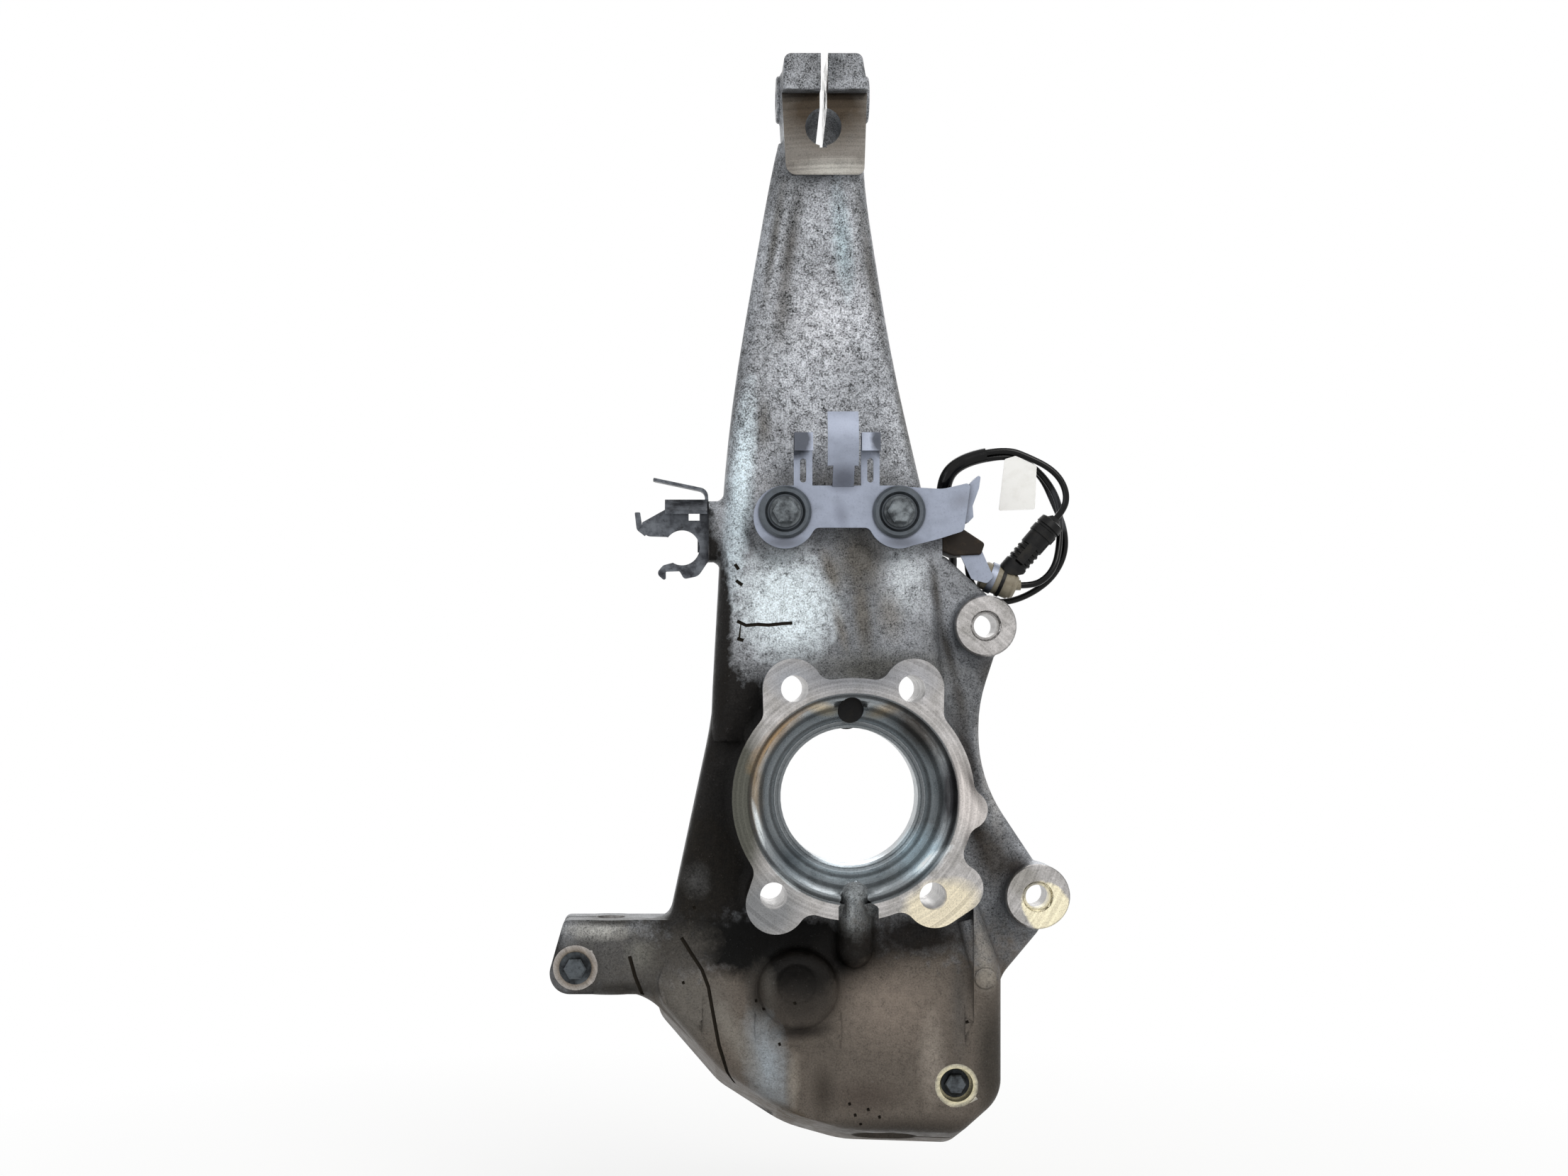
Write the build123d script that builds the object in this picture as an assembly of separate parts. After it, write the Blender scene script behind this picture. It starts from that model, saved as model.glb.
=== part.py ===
from build123d import *
from math import cos, radians, sin, tan
import os

# Steering knuckle of a left front wheel. X points to the rear of the car, Y inboard and Z up.
# The origin is the centre of the hub register, on the machined face that the hub unit bolts to.

# ---- hub register and flange
REGISTER_R = 55.5           # bore that centres the hub unit
REGISTER_DEPTH = 9.0
STEP_R = 52.5               # ledge under the register
STEP_DEPTH = 14.0
SHOULDER_R = 41.0           # inner end of the conical shoulder
SHOULDER_DEPTH = 29.0
HUB_BORE_R = 37.3           # clearance for the drive shaft's joint
HUB_BACK = 54.0             # inboard face of the hub ring
FLANGE_THICK = 11.0
FLANGE_R = 64.3
LOBE_BLEND = 8.0            # radius between the round flange and its lobes
HUB_BOLT_R = 7.25           # clearance holes for the four hub bolts
HUB_BOLT_TOP = (31.1, 58.55)
HUB_BOLT_BOTTOM = (42.2, -51.1)
RELIEF_R = 47.5             # open space behind the hub ring

# ---- drain gap in the flange and the round rib that runs through it
DRAIN_TOP = -50.0
DRAIN_STEP = -57.0          # below this height the gap is wider
DRAIN_NARROW = (-6.0, 8.2)  # left and right side of the gap at the register
DRAIN_WIDE = (-7.9, 13.3)   # and at the flange's edge
DRAIN_DEPTH = 17.0
RIB_X = 2.4
RIB_R = 9.6
RIB_TOP = (21.6, -55.0)     # (y, z) of the centres of the rib's two round ends
RIB_END = (23.6, -82.5)

# ---- wheel-speed sensor, in a bore through the conical shoulder
SENSOR = (0.0, 47.0)
SENSOR_R = 6.9
SENSOR_TIP = 24.0
SENSOR_HEAD_R = 9.5
SENSOR_HEAD_BACK = 76.0
SENSOR_EAR = 4.0            # thickness of its ear
SENSOR_BOLT_Z = 69.0
SENSOR_BOLT_R = 3.0

# ---- neck: (z, left, right, front, back) of each cross section
NECK = [
    (30.0, -74.5, 58.0, 22.0, 58.0),
    (86.0, -72.2, 49.5, 24.0, 70.0),
    (125.0, -70.0, 47.5, 30.0, 77.0),
    (180.0, -66.3, 37.7, 37.0, 84.0),
    (244.0, -58.3, 24.8, 46.0, 89.0),
    (300.0, -48.8, 16.2, 54.0, 92.0),
    (362.0, -36.8, 11.2, 61.0, 94.0),
]
NECK_CORNER_R = 9.0
NECK_RAIL = 13.0            # width of the rounded rails beside the front channel
NECK_CHANNEL = 3.5          # depth of the front channel
POCKET_RIM = 11.0           # wall left around the pockets in the neck's back
LOWER_POCKET = (100.0, 186.0, 56.0)     # bottom, top and floor of the pocket
UPPER_POCKET = (202.0, 312.0, 70.0)

# ---- clamp head for the upper ball joint
HEAD_TOP = 407.0
HEAD_LIP = 342.0            # lower edge of the machined face
HEAD_LEFT = -34.5
HEAD_RIGHT = 10.0
HEAD_FRONT = 44.0           # cast front of the two ears above the face
HEAD_FACE = 54.0            # machined face
HEAD_BACK = 98.0
EAR_HEIGHT = 20.0           # height of the two ears above the machined face
UPPER_BORE_R = 10.0
UPPER_BORE = (-12.6, HEAD_FACE, 368.5)
UPPER_BORE_TILT = 17.0      # the stud dips inboard by this many degrees
UPPER_SLIT = 4.0
CLAMP_BOLT = (72.0, 387.5)  # (y, z) of the clamp bolt, which crosses above the stud
CLAMP_BOLT_R = 5.5
CLAMP_BOSS_R = 13.0
CLAMP_BOSS_PROUD = 3.5

# ---- caliper ears
EAR_FACE = 20.0
EAR_BACK = 49.0
EAR_HOLE_R = 6.25
EAR_COUNTERBORE_R = 8.3
EAR_COUNTERBORE = 2.5
UPPER_EAR = (72.7, 92.3, 16.6)          # x, z and radius of the boss
LOWER_EAR = (100.6, -53.3, 17.5)
WEB_FRONT = 31.0
WEB_BACK = 49.0
WEB_TOP = (51.5, 131.0)     # x and z of the web's upper corner
WEB_WAIST = (70.5, 50.0, 10.0)          # x of the web's edge between the ears and its two heights
WEB_FOOT = (81.4, -99.0, -130.0)        # x and heights where it runs down into the foot
WEB_ROUND = 4.0

# ---- body behind and below the hub
FLANK_FRONT = 26.5
FLANK_BACK = 62.0
FLANK_TOP = 58.0            # hidden behind the flange
FLANK = [                   # (x, z, radius) of each corner of the flank's outline
    (-73.0, FLANK_TOP, 0), (-74.5, 40.0, 200), (-98.0, -70.2, 12), (-133.0, -68.2, 0), (-133.0, -105.0, 0),
    (-110.0, -107.5, 30), (-76.0, -142.0, 20), (10.0, -146.0, 10), (60.0, -60.0, 10), (44.0, FLANK_TOP, 0)]
BODY_FRONT = 15.0
BODY_MID = 44.0
BODY_BACK = 72.0
BODY_ROUND = 9.0
BODY_LEAN = 16.0            # the lower joint's axis leans outboard by this many degrees
BODY = [                    # outline of the foot at its middle depth
    (-88.0, -60.0, 12), (-106.0, -112.0, 16), (-70.0, -153.5, 30), (-34.0, -176.5, 60),
    (-2.0, -185.5, 60), (58.5, -187.5, 12), (81.0, -167.5, 22), (81.0, -98.0, 30), (60.0, -40.0, 0)]
VALLEY = 27.0               # depth of the hollow under the flange
VALLEY_Z = (-20.0, -86.0, -120.0)       # its top, the end of its floor and the end of its slope
GROOVE = (-21.0, -140.0)    # x and top of the soft groove left of the lower joint
GROOVE_R = 30.0
GROOVE_DEPTH = 4.0
LUMP = (-28.5, -103.5)      # x and z of the round swelling left of the drain gap
LUMP_R = 21.5
LUMP_FRONT = 10.0
LUMP_DISH_R = 15.0
LUMP_DISH = 5.0
KNOB = (71.7, -96.5)        # x and z of the round end of the ridge at the right
KNOB_R = 5.8
KNOB_FRONT = 14.0
RIDGE_TOP = (63.5, 24.0, -66.0)

# ---- lower ball joint
LOWER_BORE_R = 14.0
LOWER_BORE_DEPTH = 44.0
LOWER_BORE = (20.0, 45.0, -187.0)
LOWER_SEAT_R = 18.0         # machined seat around the bore
LOWER_SEAT_DEPTH = 3.5
LOWER_SLIT = 3.0
LOWER_SLIT_TOP = 58.0
LOWER_BOLT = (56.3, -153.9)
LOWER_RING_R = 11.6
LOWER_COUNTERBORE_R = 9.0
LOWER_COUNTERBORE = 9.0

# ---- steering arm
TIE_ROD = (-129.7, 45.0)    # x and y of the vertical tie-rod bore
TIE_ROD_R = 8.0
TIE_BOSS_R = 19.5
TIE_TOP = -66.6
TIE_BOTTOM = -106.8
TIE_TIP = -165.0
TIE_HALF = 17.0             # half thickness of the split ears at the tip
TIE_SLIT = 3.0
TIE_BOLT = (-148.3, -92.4)
TIE_SPOT_R = 12.2           # machined ring under the head of the pinch bolt
TIE_SPOT_PROUD = 0.8

# ---- upper bracket and its bolts
BRACKET_LEFT = (-35.2, 153.6)
BRACKET_RIGHT = (26.2, 153.6)
BRACKET_BACK = 24.5
BRACKET_SHEET = 2.5
BRACKET_EYE_R = 17.0
BRACKET_EYE_DROP = 2.6      # the eyes sit this much below the bolts
BRACKET_TOP = 168.3
BRACKET_WAIST = 145.2
BRACKET_ARM = [             # (x, z, radius) of the corners right of the right bolt
    (49.7, 166.0, 20), (64.8, 169.6, 2), (61.2, 143.5, 3), (47.0, 139.0, 20)]
BRACKET_WING = [
    (61.6, 146.0, 1), (64.6, 169.0, 0), (70.6, 175.0, 1), (69.5, 166.6, 4), (66.0, 157.0, 2),
    (66.5, 151.0, 1)]
WING_BACK = 38.0
TONGUE_X = (-12.7, 3.9)
TONGUE_BEND = (13.0, 188.0)             # y and z where the tongue bends back
TONGUE_END = (17.0, 207.2)
TONGUE_CUTS = ((-14.0, -9.7), (1.7, 5.0))
PRONGS = ((-30.5, -20.5), (5.7, 15.7))  # left and right side of each prong
PRONG_TOP = 196.0
BOSS_R = 15.5
WASHER_R = 14.1
WASHER_THICK = 2.6
BRACKET_BOLT_R = 4.9
BRACKET_BOLT_END = 50.0
HEX_FLANGE_R = 8.3
HEX_FLANGE = 2.2
HEX_ACROSS = 12.2
HEX_HEIGHT = 6.5

# ---- side clip on the left of the neck
CLIP_SEAT = -76.0           # machined face of the pad that carries it
CLIP_SHEET = 2.0
CLIP_Y = (38.0, 60.0)
CLIP_Z = (128.0, 161.0)
CLIP_PLATE_Y = 45.0
CLIP_PLATE = [              # (x, z, radius) of each corner
    (CLIP_SEAT, 161.0, 0), (-88.0, 160.0, 2), (-99.0, 157.0, 1), (-112.5, 149.5, 0.5), (-112.8, 142.0, 5),
    (-97.0, 141.5, 6), (-92.0, 135.6, 0), (-93.4, 128.0, 3), (-101.0, 126.0, 3), (-104.8, 121.5, 2.5),
    (-99.5, 117.0, 1), (-99.5, 122.5, 0.5), (-92.0, 122.8, 1), (-89.5, 118.5, 2), (-81.7, 120.0, 6),
    (CLIP_SEAT, 128.5, 0)]
CLIP_HOOK = [
    (-111.0, 142.0, 0), (-115.5, 145.5, 3), (-116.6, 155.0, 0.6), (-113.6, 155.0, 0.6),
    (-112.5, 147.5, 2), (-108.0, 146.0, 0)]
CLIP_WINDOW = (-84.0, 152.5)
CLIP_STRIP = [
    (CLIP_SEAT - CLIP_SHEET, 159.5, 0), (-78.0, 166.3, 4), (-106.6, 172.4, 0.5), (-106.2, 174.0, 0.5),
    (-76.6, 167.8, 5), (CLIP_SEAT, 159.5, 0)]
CLIP_FLAP_LEFT = -100.0
CLIP_NOTCH = (-90.6, 135.6)
CLIP_NOTCH_R = 9.6
CLIP_BOLT = (53.6, 138.0)   # (y, z)
CLIP_BOLT_R = 3.0
CLIP_BOLT_HEX = 9.0

# ---- connector of the sensor lead, beside the neck
HOLDER_SEAT = 50.5          # pad on the neck's right side
HOLDER_Y = (31.5, 56.0)
HOLDER_SHEET = 2.0
HOLDER_SHEET_Y = 33.0
SOCKET_R = 7.7
CONNECTOR = (83.8, HOLDER_SHEET_Y + HOLDER_SHEET + SOCKET_R, 116.8)
SOCKET_TILT = -22.0         # the socket's axis runs down to the right
PLUG_TILT = 49.0            # and the plug's up to the right
OUTLET = (94.5, CONNECTOR[1], 115.0)     # end of the socket's outlet
PLUG_R = 6.6
PLUG_HEAD_R = 7.3
PLUG_END = 33.0
BOOT_END = 46.0
LEAD_R = 1.8
SENSOR_LEAD_R = 2.3
SHEATH_R = 4.0

# ---- fasteners
PINCH_BOLT_R = 5.0
BOLT_CLEARANCE = 0.2        # between a shank and its hole
SEAT_GAP = 0.05             # between parts that touch


def front_plane(y):
    """The plane at depth y, drawn as seen from the wheel: x to the right and z up."""
    return Plane(origin=(0, y, 0), x_dir=(1, 0, 0), z_dir=(0, -1, 0))


def outline(corners):
    """A closed face whose corners are (x, z, radius)."""
    points = [(x, z) for x, z, _ in corners]
    radii = [r for _, _, r in corners]
    return make_face(FilletPolyline(*points, radius=radii, close=True))


def slab(sketch, y0, y1, lean=0.0):
    """A front-view sketch carried inboard from y0 to y1, sinking by lean degrees on the way."""
    direction = Vector(0, 1, -tan(radians(lean)))
    return extrude(front_plane(y0) * sketch, amount=(y1 - y0) * direction.length, dir=direction)


def rod(start, end, radius):
    """A round bar between two points."""
    axis = Vector(*end) - Vector(*start)
    return extrude(Plane(origin=start, z_dir=axis) * Circle(radius), amount=axis.length)


def rod_y(x, z, y0, y1, radius):
    return rod((x, y0, z), (x, y1, z), radius)


def on_plane_y(solid, y):
    """The edges of a solid that lie in the plane at depth y."""
    return solid.edges().filter_by_position(Axis.Y, y - 0.01, y + 0.01)


# ---------------------------------------------------------------- casting, as cast
def neck_section(z, left, right, front, back):
    middle = (left + right) / 2
    channel = ThreePointArc(
        (right - NECK_RAIL, front), (middle, front + NECK_CHANNEL), (left + NECK_RAIL, front))
    border = Polyline(
        (left + NECK_RAIL, front), (left, front), (left, back), (right, back), (right, front),
        (right - NECK_RAIL, front))
    face = make_face([channel, border])
    outer = [v for v in face.vertices() if abs(v.X - middle) > (right - left) / 2 - 1]
    return Pos(0, 0, z) * fillet(outer, NECK_CORNER_R)


def neck():
    return loft([neck_section(*station) for station in NECK])


def neck_width(z):
    """Left and right of the neck at height z, between its cross sections."""
    for low, high in zip(NECK, NECK[1:]):
        if low[0] <= z <= high[0]:
            part = (z - low[0]) / (high[0] - low[0])
            return [low[i] + part * (high[i] - low[i]) for i in (1, 2)]


def neck_pocket(bottom, top, floor):
    """A lightening pocket in the inboard side of the neck."""
    low_left, low_right = neck_width(bottom)
    top_left, top_right = neck_width(top)
    corner = 8.0
    face = outline([
        (low_left + POCKET_RIM, bottom, corner), (top_left + POCKET_RIM, top, corner),
        (top_right - POCKET_RIM, top, corner), (low_right - POCKET_RIM, bottom, corner)])
    return slab(face, floor, HEAD_BACK + 10)


def head():
    """Block at the top of the neck: two ears over a machined face."""
    base = HEAD_TOP - EAR_HEIGHT
    block = slab(outline([
        (HEAD_LEFT, HEAD_TOP, 4), (HEAD_RIGHT - 2, HEAD_TOP, 4), (HEAD_RIGHT + 1.5, base, 6),
        (HEAD_RIGHT, HEAD_LIP, 4), (HEAD_LEFT + 1.5, HEAD_LIP, 6), (HEAD_LEFT - 1, base, 6)]),
        HEAD_FRONT, HEAD_BACK)
    block = fillet(on_plane_y(block, HEAD_FRONT), 2)
    block = fillet(on_plane_y(block, HEAD_BACK), 4)
    under_ears = slab(Pos(0, HEAD_LIP) * Rectangle(4 * HEAD_BACK, 2 * (base - HEAD_LIP)), 0, HEAD_FACE)
    y, z = CLAMP_BOLT
    boss = rod((HEAD_LEFT - CLAMP_BOSS_PROUD, y, z), (HEAD_RIGHT + CLAMP_BOSS_PROUD, y, z), CLAMP_BOSS_R)
    boss = fillet(boss.edges(), 1.5)
    return block - under_ears + boss


def flange_lobe(a, radius_a, b, radius_b):
    """A lobe of the flange: two circles and the straight sides that touch both."""
    start, end = Vector(*a), Vector(*b)
    along = (end - start).normalized()
    slope = (radius_a - radius_b) / (end - start).length
    corners = []
    for side in (1, -1):
        across = Vector(-along.Y, along.X) * side
        normal = along * slope + across * (1 - slope ** 2) ** 0.5
        corners += [start + normal * radius_a, end + normal * radius_b][::side]
    sides = make_face(Polyline(*corners, close=True))
    return Pos(*a) * Circle(radius_a) + Pos(*b) * Circle(radius_b) + sides


def flange():
    """The lobed plate whose face carries the hub unit."""
    tx, tz = HUB_BOLT_TOP
    bx, bz = HUB_BOLT_BOTTOM
    plate = Circle(FLANGE_R)
    for side in (-1, 1):
        plate += flange_lobe((side * (tx + 0.9), tz), 16, (side * (tx + 3.4), tz - 22.5), 13)
    plate += flange_lobe((-bx + 1.2, bz - 4.4), 16, (-bx + 5.2, bz + 17), 13)
    plate += flange_lobe((bx + 0.8, bz - 0.9), 16, (bx + 13.5, bz + 4), 13)
    plate += flange_lobe((60.5, -5.5), 10.5, (46, -5.5), 14)
    plate = offset(offset(plate, LOBE_BLEND), -LOBE_BLEND)
    return slab(plate, 0, FLANGE_THICK)


def hub_ring():
    """The ring that joins the flange to the body, with a lug behind each hub bolt."""
    ring = rod_y(0, 0, FLANGE_THICK - 4, HUB_BACK, FLANGE_R - 2)
    for side in (-1, 1):
        for x, z in (HUB_BOLT_TOP, HUB_BOLT_BOTTOM):
            ring += rod_y(side * x, z, FLANGE_THICK - 4, HUB_BACK - 12, HUB_BOLT_R + 6)
    return ring


def flank():
    """The wall from the neck past the hub down to the steering arm."""
    solid = slab(outline(FLANK), FLANK_FRONT, FLANK_BACK)
    return fillet(on_plane_y(solid, FLANK_FRONT), 6)


def lower_body():
    """The thick foot round the lower ball joint; its sides lean like the joint."""
    drop = (BODY_MID - BODY_FRONT) * tan(radians(BODY_LEAN))
    face = outline([(x, z + drop, r) for x, z, r in BODY])
    solid = slab(face, BODY_FRONT, BODY_BACK, BODY_LEAN)
    solid = fillet(on_plane_y(solid, BODY_FRONT), BODY_ROUND)
    top, floor_end, slope_end = VALLEY_Z
    valley = along_x(make_face(FilletPolyline(
        (0, top), (VALLEY, top), (VALLEY, floor_end), (BODY_FRONT, slope_end), (0, slope_end),
        radius=[0, 0, 25, 0, 0], close=True)), 2 * BODY[1][0], LOWER_EAR[0] - 2 * LOWER_EAR[2])
    x, z = GROOVE
    start = (x, BODY_FRONT + GROOVE_DEPTH - GROOVE_R, z)
    groove = rod(start, (x - 2, start[1], z - 80), GROOVE_R) + Pos(*start) * Sphere(GROOVE_R)
    return solid - valley - groove


def ear_web():
    """The plate that carries both caliper ears."""
    ux, uz, _ = UPPER_EAR
    lx, lz, _ = LOWER_EAR
    waist, foot = WEB_WAIST, WEB_FOOT
    solid = slab(outline([
        (waist[0] / 2, WEB_TOP[1], 0), (*WEB_TOP, 8), (ux + 8, uz + 12, 12), (ux + 9, uz - 8, 6),
        (waist[0], waist[1], 80), (waist[0], waist[2], 80), (lx + 4, lz + 12, 12),
        (lx + 4, lz - 18, 12), (foot[0], foot[1], 20), (foot[0], foot[2], 0),
        (waist[0] / 2, foot[2], 0)]), WEB_FRONT, WEB_BACK)
    return fillet(on_plane_y(solid, WEB_FRONT) + on_plane_y(solid, WEB_BACK), WEB_ROUND)


def ear(x, z, radius):
    boss = rod_y(x, z, EAR_FACE, EAR_BACK, radius)
    return chamfer(boss.edges(), 1)


def steering_arm():
    """Split eye for the tie rod: a vertical boss that narrows to two ears at the tip."""
    x, y = TIE_ROD
    root = x + 2 * TIE_BOSS_R
    side = slab(outline([
        (TIE_TIP + 10.5, TIE_TOP, 4), (TIE_TIP - 1, TIE_BOTTOM, 11), (root, TIE_BOTTOM, 0),
        (root, TIE_TOP, 0)]), 0, 2 * y)
    plan = make_face(FilletPolyline(
        (TIE_TIP, y - TIE_HALF), (TIE_TIP, y + TIE_HALF), (root, y + TIE_HALF), (root, y - TIE_HALF),
        radius=[8, 8, 0, 0], close=True))
    plan += Pos(x, y) * Circle(TIE_BOSS_R)
    arm = side & (Pos(0, 0, TIE_BOTTOM - 20) * extrude(
        plan, amount=TIE_TOP - TIE_BOTTOM + 40, dir=(0, 0, 1)))
    seat = y - TIE_HALF - TIE_SPOT_PROUD
    return arm + rod_y(*TIE_BOLT, seat, y, TIE_SPOT_R)


def front_lump():
    """Round swelling left of the drain gap, dished in the middle."""
    lump = rod_y(*LUMP, LUMP_FRONT, BODY_MID, LUMP_R)
    lump = fillet(on_plane_y(lump, LUMP_FRONT), LUMP_R / 3)
    x, z = LUMP
    return lump - Pos(x - 1, LUMP_FRONT + LUMP_DISH - LUMP_DISH_R, z + 4) * Sphere(LUMP_DISH_R)


def right_ridge():
    """Soft ridge down the right of the hollow, which ends in a round knob."""
    knob = rod_y(*KNOB, KNOB_FRONT, BODY_MID, KNOB_R)
    knob = fillet(on_plane_y(knob, KNOB_FRONT), 1)
    end = (KNOB[0], KNOB_FRONT + KNOB_R + 1.5, KNOB[1])
    return knob + rod(RIDGE_TOP, end, KNOB_R)


def drain_rib():
    """Round rib from the conical shoulder through the gap in the flange, with half-ball ends."""
    start, end = (RIB_X, *RIB_TOP), (RIB_X, *RIB_END)
    return rod(start, end, RIB_R) + Pos(*start) * Sphere(RIB_R) + Pos(*end) * Sphere(RIB_R)


def bracket_bosses():
    bosses = [rod_y(x, z - BRACKET_EYE_DROP, BRACKET_BACK, 48, BOSS_R)
              for x, z in (BRACKET_LEFT, BRACKET_RIGHT)]
    return bosses[0] + bosses[1]


def side_pads():
    """Machined pads on the neck's flanks for the clip on the left and the holder on the right."""
    left = Pos((CLIP_SEAT - 56) / 2, sum(CLIP_Y) / 2, sum(CLIP_Z) / 2) * Box(
        -56 - CLIP_SEAT, CLIP_Y[1] - CLIP_Y[0], CLIP_Z[1] - CLIP_Z[0])
    left = fillet(left.edges().filter_by(Axis.X), 5)
    right = Pos((HOLDER_SEAT + 30) / 2, sum(HOLDER_Y) / 2, 136) * Box(
        HOLDER_SEAT - 30, HOLDER_Y[1] - HOLDER_Y[0], 19)
    return left, right


def casting_blank():
    parts = [neck(), head(), flank(), lower_body(), ear_web(), steering_arm(), front_lump(),
             right_ridge(), bracket_bosses(), *side_pads(), hub_ring(), flange(),
             ear(*UPPER_EAR), ear(*LOWER_EAR)]
    blank = parts[0]
    for part in parts[1:]:
        blank += part
    return blank


# ---------------------------------------------------------------- casting, machined
def register():
    """What the hub unit, the drive shaft and the space behind the ring leave free."""
    profile = Polyline(
        (0, -1), (REGISTER_R, -1), (REGISTER_R, REGISTER_DEPTH), (STEP_R, REGISTER_DEPTH),
        (STEP_R, STEP_DEPTH),
        (SHOULDER_R, SHOULDER_DEPTH), (HUB_BORE_R + 2, SHOULDER_DEPTH),
        (HUB_BORE_R, SHOULDER_DEPTH + 2), (HUB_BORE_R, HUB_BACK - 2), (HUB_BORE_R + 2, HUB_BACK),
        (RELIEF_R, HUB_BACK), (RELIEF_R + 6, HUB_BACK + 50), (0, HUB_BACK + 50), close=True)
    return revolve(make_face(profile), Axis.Y)


def drain_gap():
    """The gap at the bottom of the flange, wider at its outer edge."""
    (left, right), (wide_left, wide_right) = DRAIN_NARROW, DRAIN_WIDE
    outside = -FLANGE_R - 15
    return slab(outline([
        (left, DRAIN_TOP, 0), (right, DRAIN_TOP, 0), (right, DRAIN_STEP + 3, 1.5),
        (wide_right, DRAIN_STEP, 2), (wide_right, outside, 0), (wide_left, outside, 0),
        (wide_left, DRAIN_STEP, 1), (left, DRAIN_STEP + 3, 0.5)]), -1, DRAIN_DEPTH)


def hub_bolt_holes():
    return [rod_y(side * x, z, -1, HUB_BACK + 20, HUB_BOLT_R)
            for side in (-1, 1) for x, z in (HUB_BOLT_TOP, HUB_BOLT_BOTTOM)]


def sensor_seat():
    """Bore for the sensor's nose, the open space for its head and the thread of its bolt."""
    x, z = SENSOR
    space = flange_lobe((x, z), 14, (x, SENSOR_BOLT_Z), 10)
    return [rod_y(x, z, 0, HUB_BACK + 1, SENSOR_R + 0.1), slab(space, HUB_BACK, HUB_BACK + 60),
            rod_y(x, SENSOR_BOLT_Z, HUB_BACK - 16, HUB_BACK + 1, SENSOR_BOLT_R + BOLT_CLEARANCE)]


def ear_hole(x, z):
    return (rod_y(x, z, EAR_FACE - 1, EAR_BACK + 1, EAR_HOLE_R)
            + rod_y(x, z, EAR_FACE - 1, EAR_FACE + EAR_COUNTERBORE, EAR_COUNTERBORE_R))


def upper_joint():
    """The stud's bore, the slit that splits the two ears and the clamp bolt's hole."""
    x, y, z = UPPER_BORE
    inboard = Vector(0, cos(radians(UPPER_BORE_TILT)), -sin(radians(UPPER_BORE_TILT)))
    start, end = Vector(x, y, z) - inboard * 20, Vector(x, y, z) + inboard * 70
    slit_low = z - UPPER_BORE_R - 1.5
    slit = Pos(x, (HEAD_FRONT + HEAD_BACK) / 2, (slit_low + HEAD_TOP + 5) / 2) * Box(
        UPPER_SLIT, HEAD_BACK - HEAD_FRONT + 20, HEAD_TOP + 5 - slit_low)
    by, bz = CLAMP_BOLT
    bolt = rod((HEAD_LEFT - 20, by, bz), (HEAD_RIGHT + 20, by, bz), CLAMP_BOLT_R)
    return [rod(tuple(start), tuple(end), UPPER_BORE_R), slit, bolt]


def lower_joint():
    """Leaning bore from below with its seat, the slit to the right and the cross bolt's hole."""
    place = Location(LOWER_BORE, (-BODY_LEAN, 0, 0))
    bore = place * Pos(0, 0, LOWER_BORE_DEPTH / 2 - 10) * Cylinder(
        LOWER_BORE_R, LOWER_BORE_DEPTH + 20)
    seat = place * Pos(0, 0, LOWER_SEAT_DEPTH - 15) * Cylinder(LOWER_SEAT_R, 30)
    slit = place * Pos(45, 0, LOWER_SLIT_TOP / 2 - 10) * Box(90, LOWER_SLIT, LOWER_SLIT_TOP + 20)
    end = place * Pos(45, 0, LOWER_SLIT_TOP) * Rot(0, 90, 0) * Cylinder(LOWER_SLIT, 90)
    x, z = LOWER_BOLT
    bolt = rod_y(x, z, 0, BODY_BACK + 5, PINCH_BOLT_R + BOLT_CLEARANCE)
    ring = rod_y(x, z, 0, BODY_FRONT + 1, LOWER_RING_R)
    head_space = rod_y(x, z, 0, BODY_FRONT + LOWER_COUNTERBORE, LOWER_COUNTERBORE_R)
    return [bore, seat, slit, end, bolt, ring, head_space]


def tie_rod_eye():
    x, y = TIE_ROD
    height = TIE_TOP - TIE_BOTTOM
    middle = (TIE_TOP + TIE_BOTTOM) / 2
    bore = Pos(x, y, middle) * Cylinder(TIE_ROD_R, height + 20)
    slit = Pos((TIE_TIP + x) / 2 - 5, y, middle) * Box(x - TIE_TIP + 10, TIE_SLIT, height + 20)
    bx, bz = TIE_BOLT
    bolt = rod_y(bx, bz, 0, 2 * y, PINCH_BOLT_R + BOLT_CLEARANCE)
    spot = rod_y(bx, bz, 0, y - TIE_HALF - TIE_SPOT_PROUD, TIE_SPOT_R)
    return [bore, slit, bolt, spot]


def bracket_bolt_holes():
    return [rod_y(x, z, 20, BRACKET_BOLT_END + 3, BRACKET_BOLT_R + BOLT_CLEARANCE)
            for x, z in (BRACKET_LEFT, BRACKET_RIGHT)]


def clip_bolt_hole():
    y, z = CLIP_BOLT
    return rod((CLIP_SEAT - 1, y, z), (CLIP_SEAT + 16, y, z), CLIP_BOLT_R + BOLT_CLEARANCE)


def knuckle_casting():
    casting = casting_blank() - register() - drain_gap()
    casting += drain_rib()
    cuts = [*hub_bolt_holes(), *sensor_seat(), ear_hole(*UPPER_EAR[:2]), ear_hole(*LOWER_EAR[:2]),
            *upper_joint(), *lower_joint(), *tie_rod_eye(), *bracket_bolt_holes(),
            clip_bolt_hole(), neck_pocket(*LOWER_POCKET), neck_pocket(*UPPER_POCKET)]
    for cut in cuts:
        casting -= cut
    return casting


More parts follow.
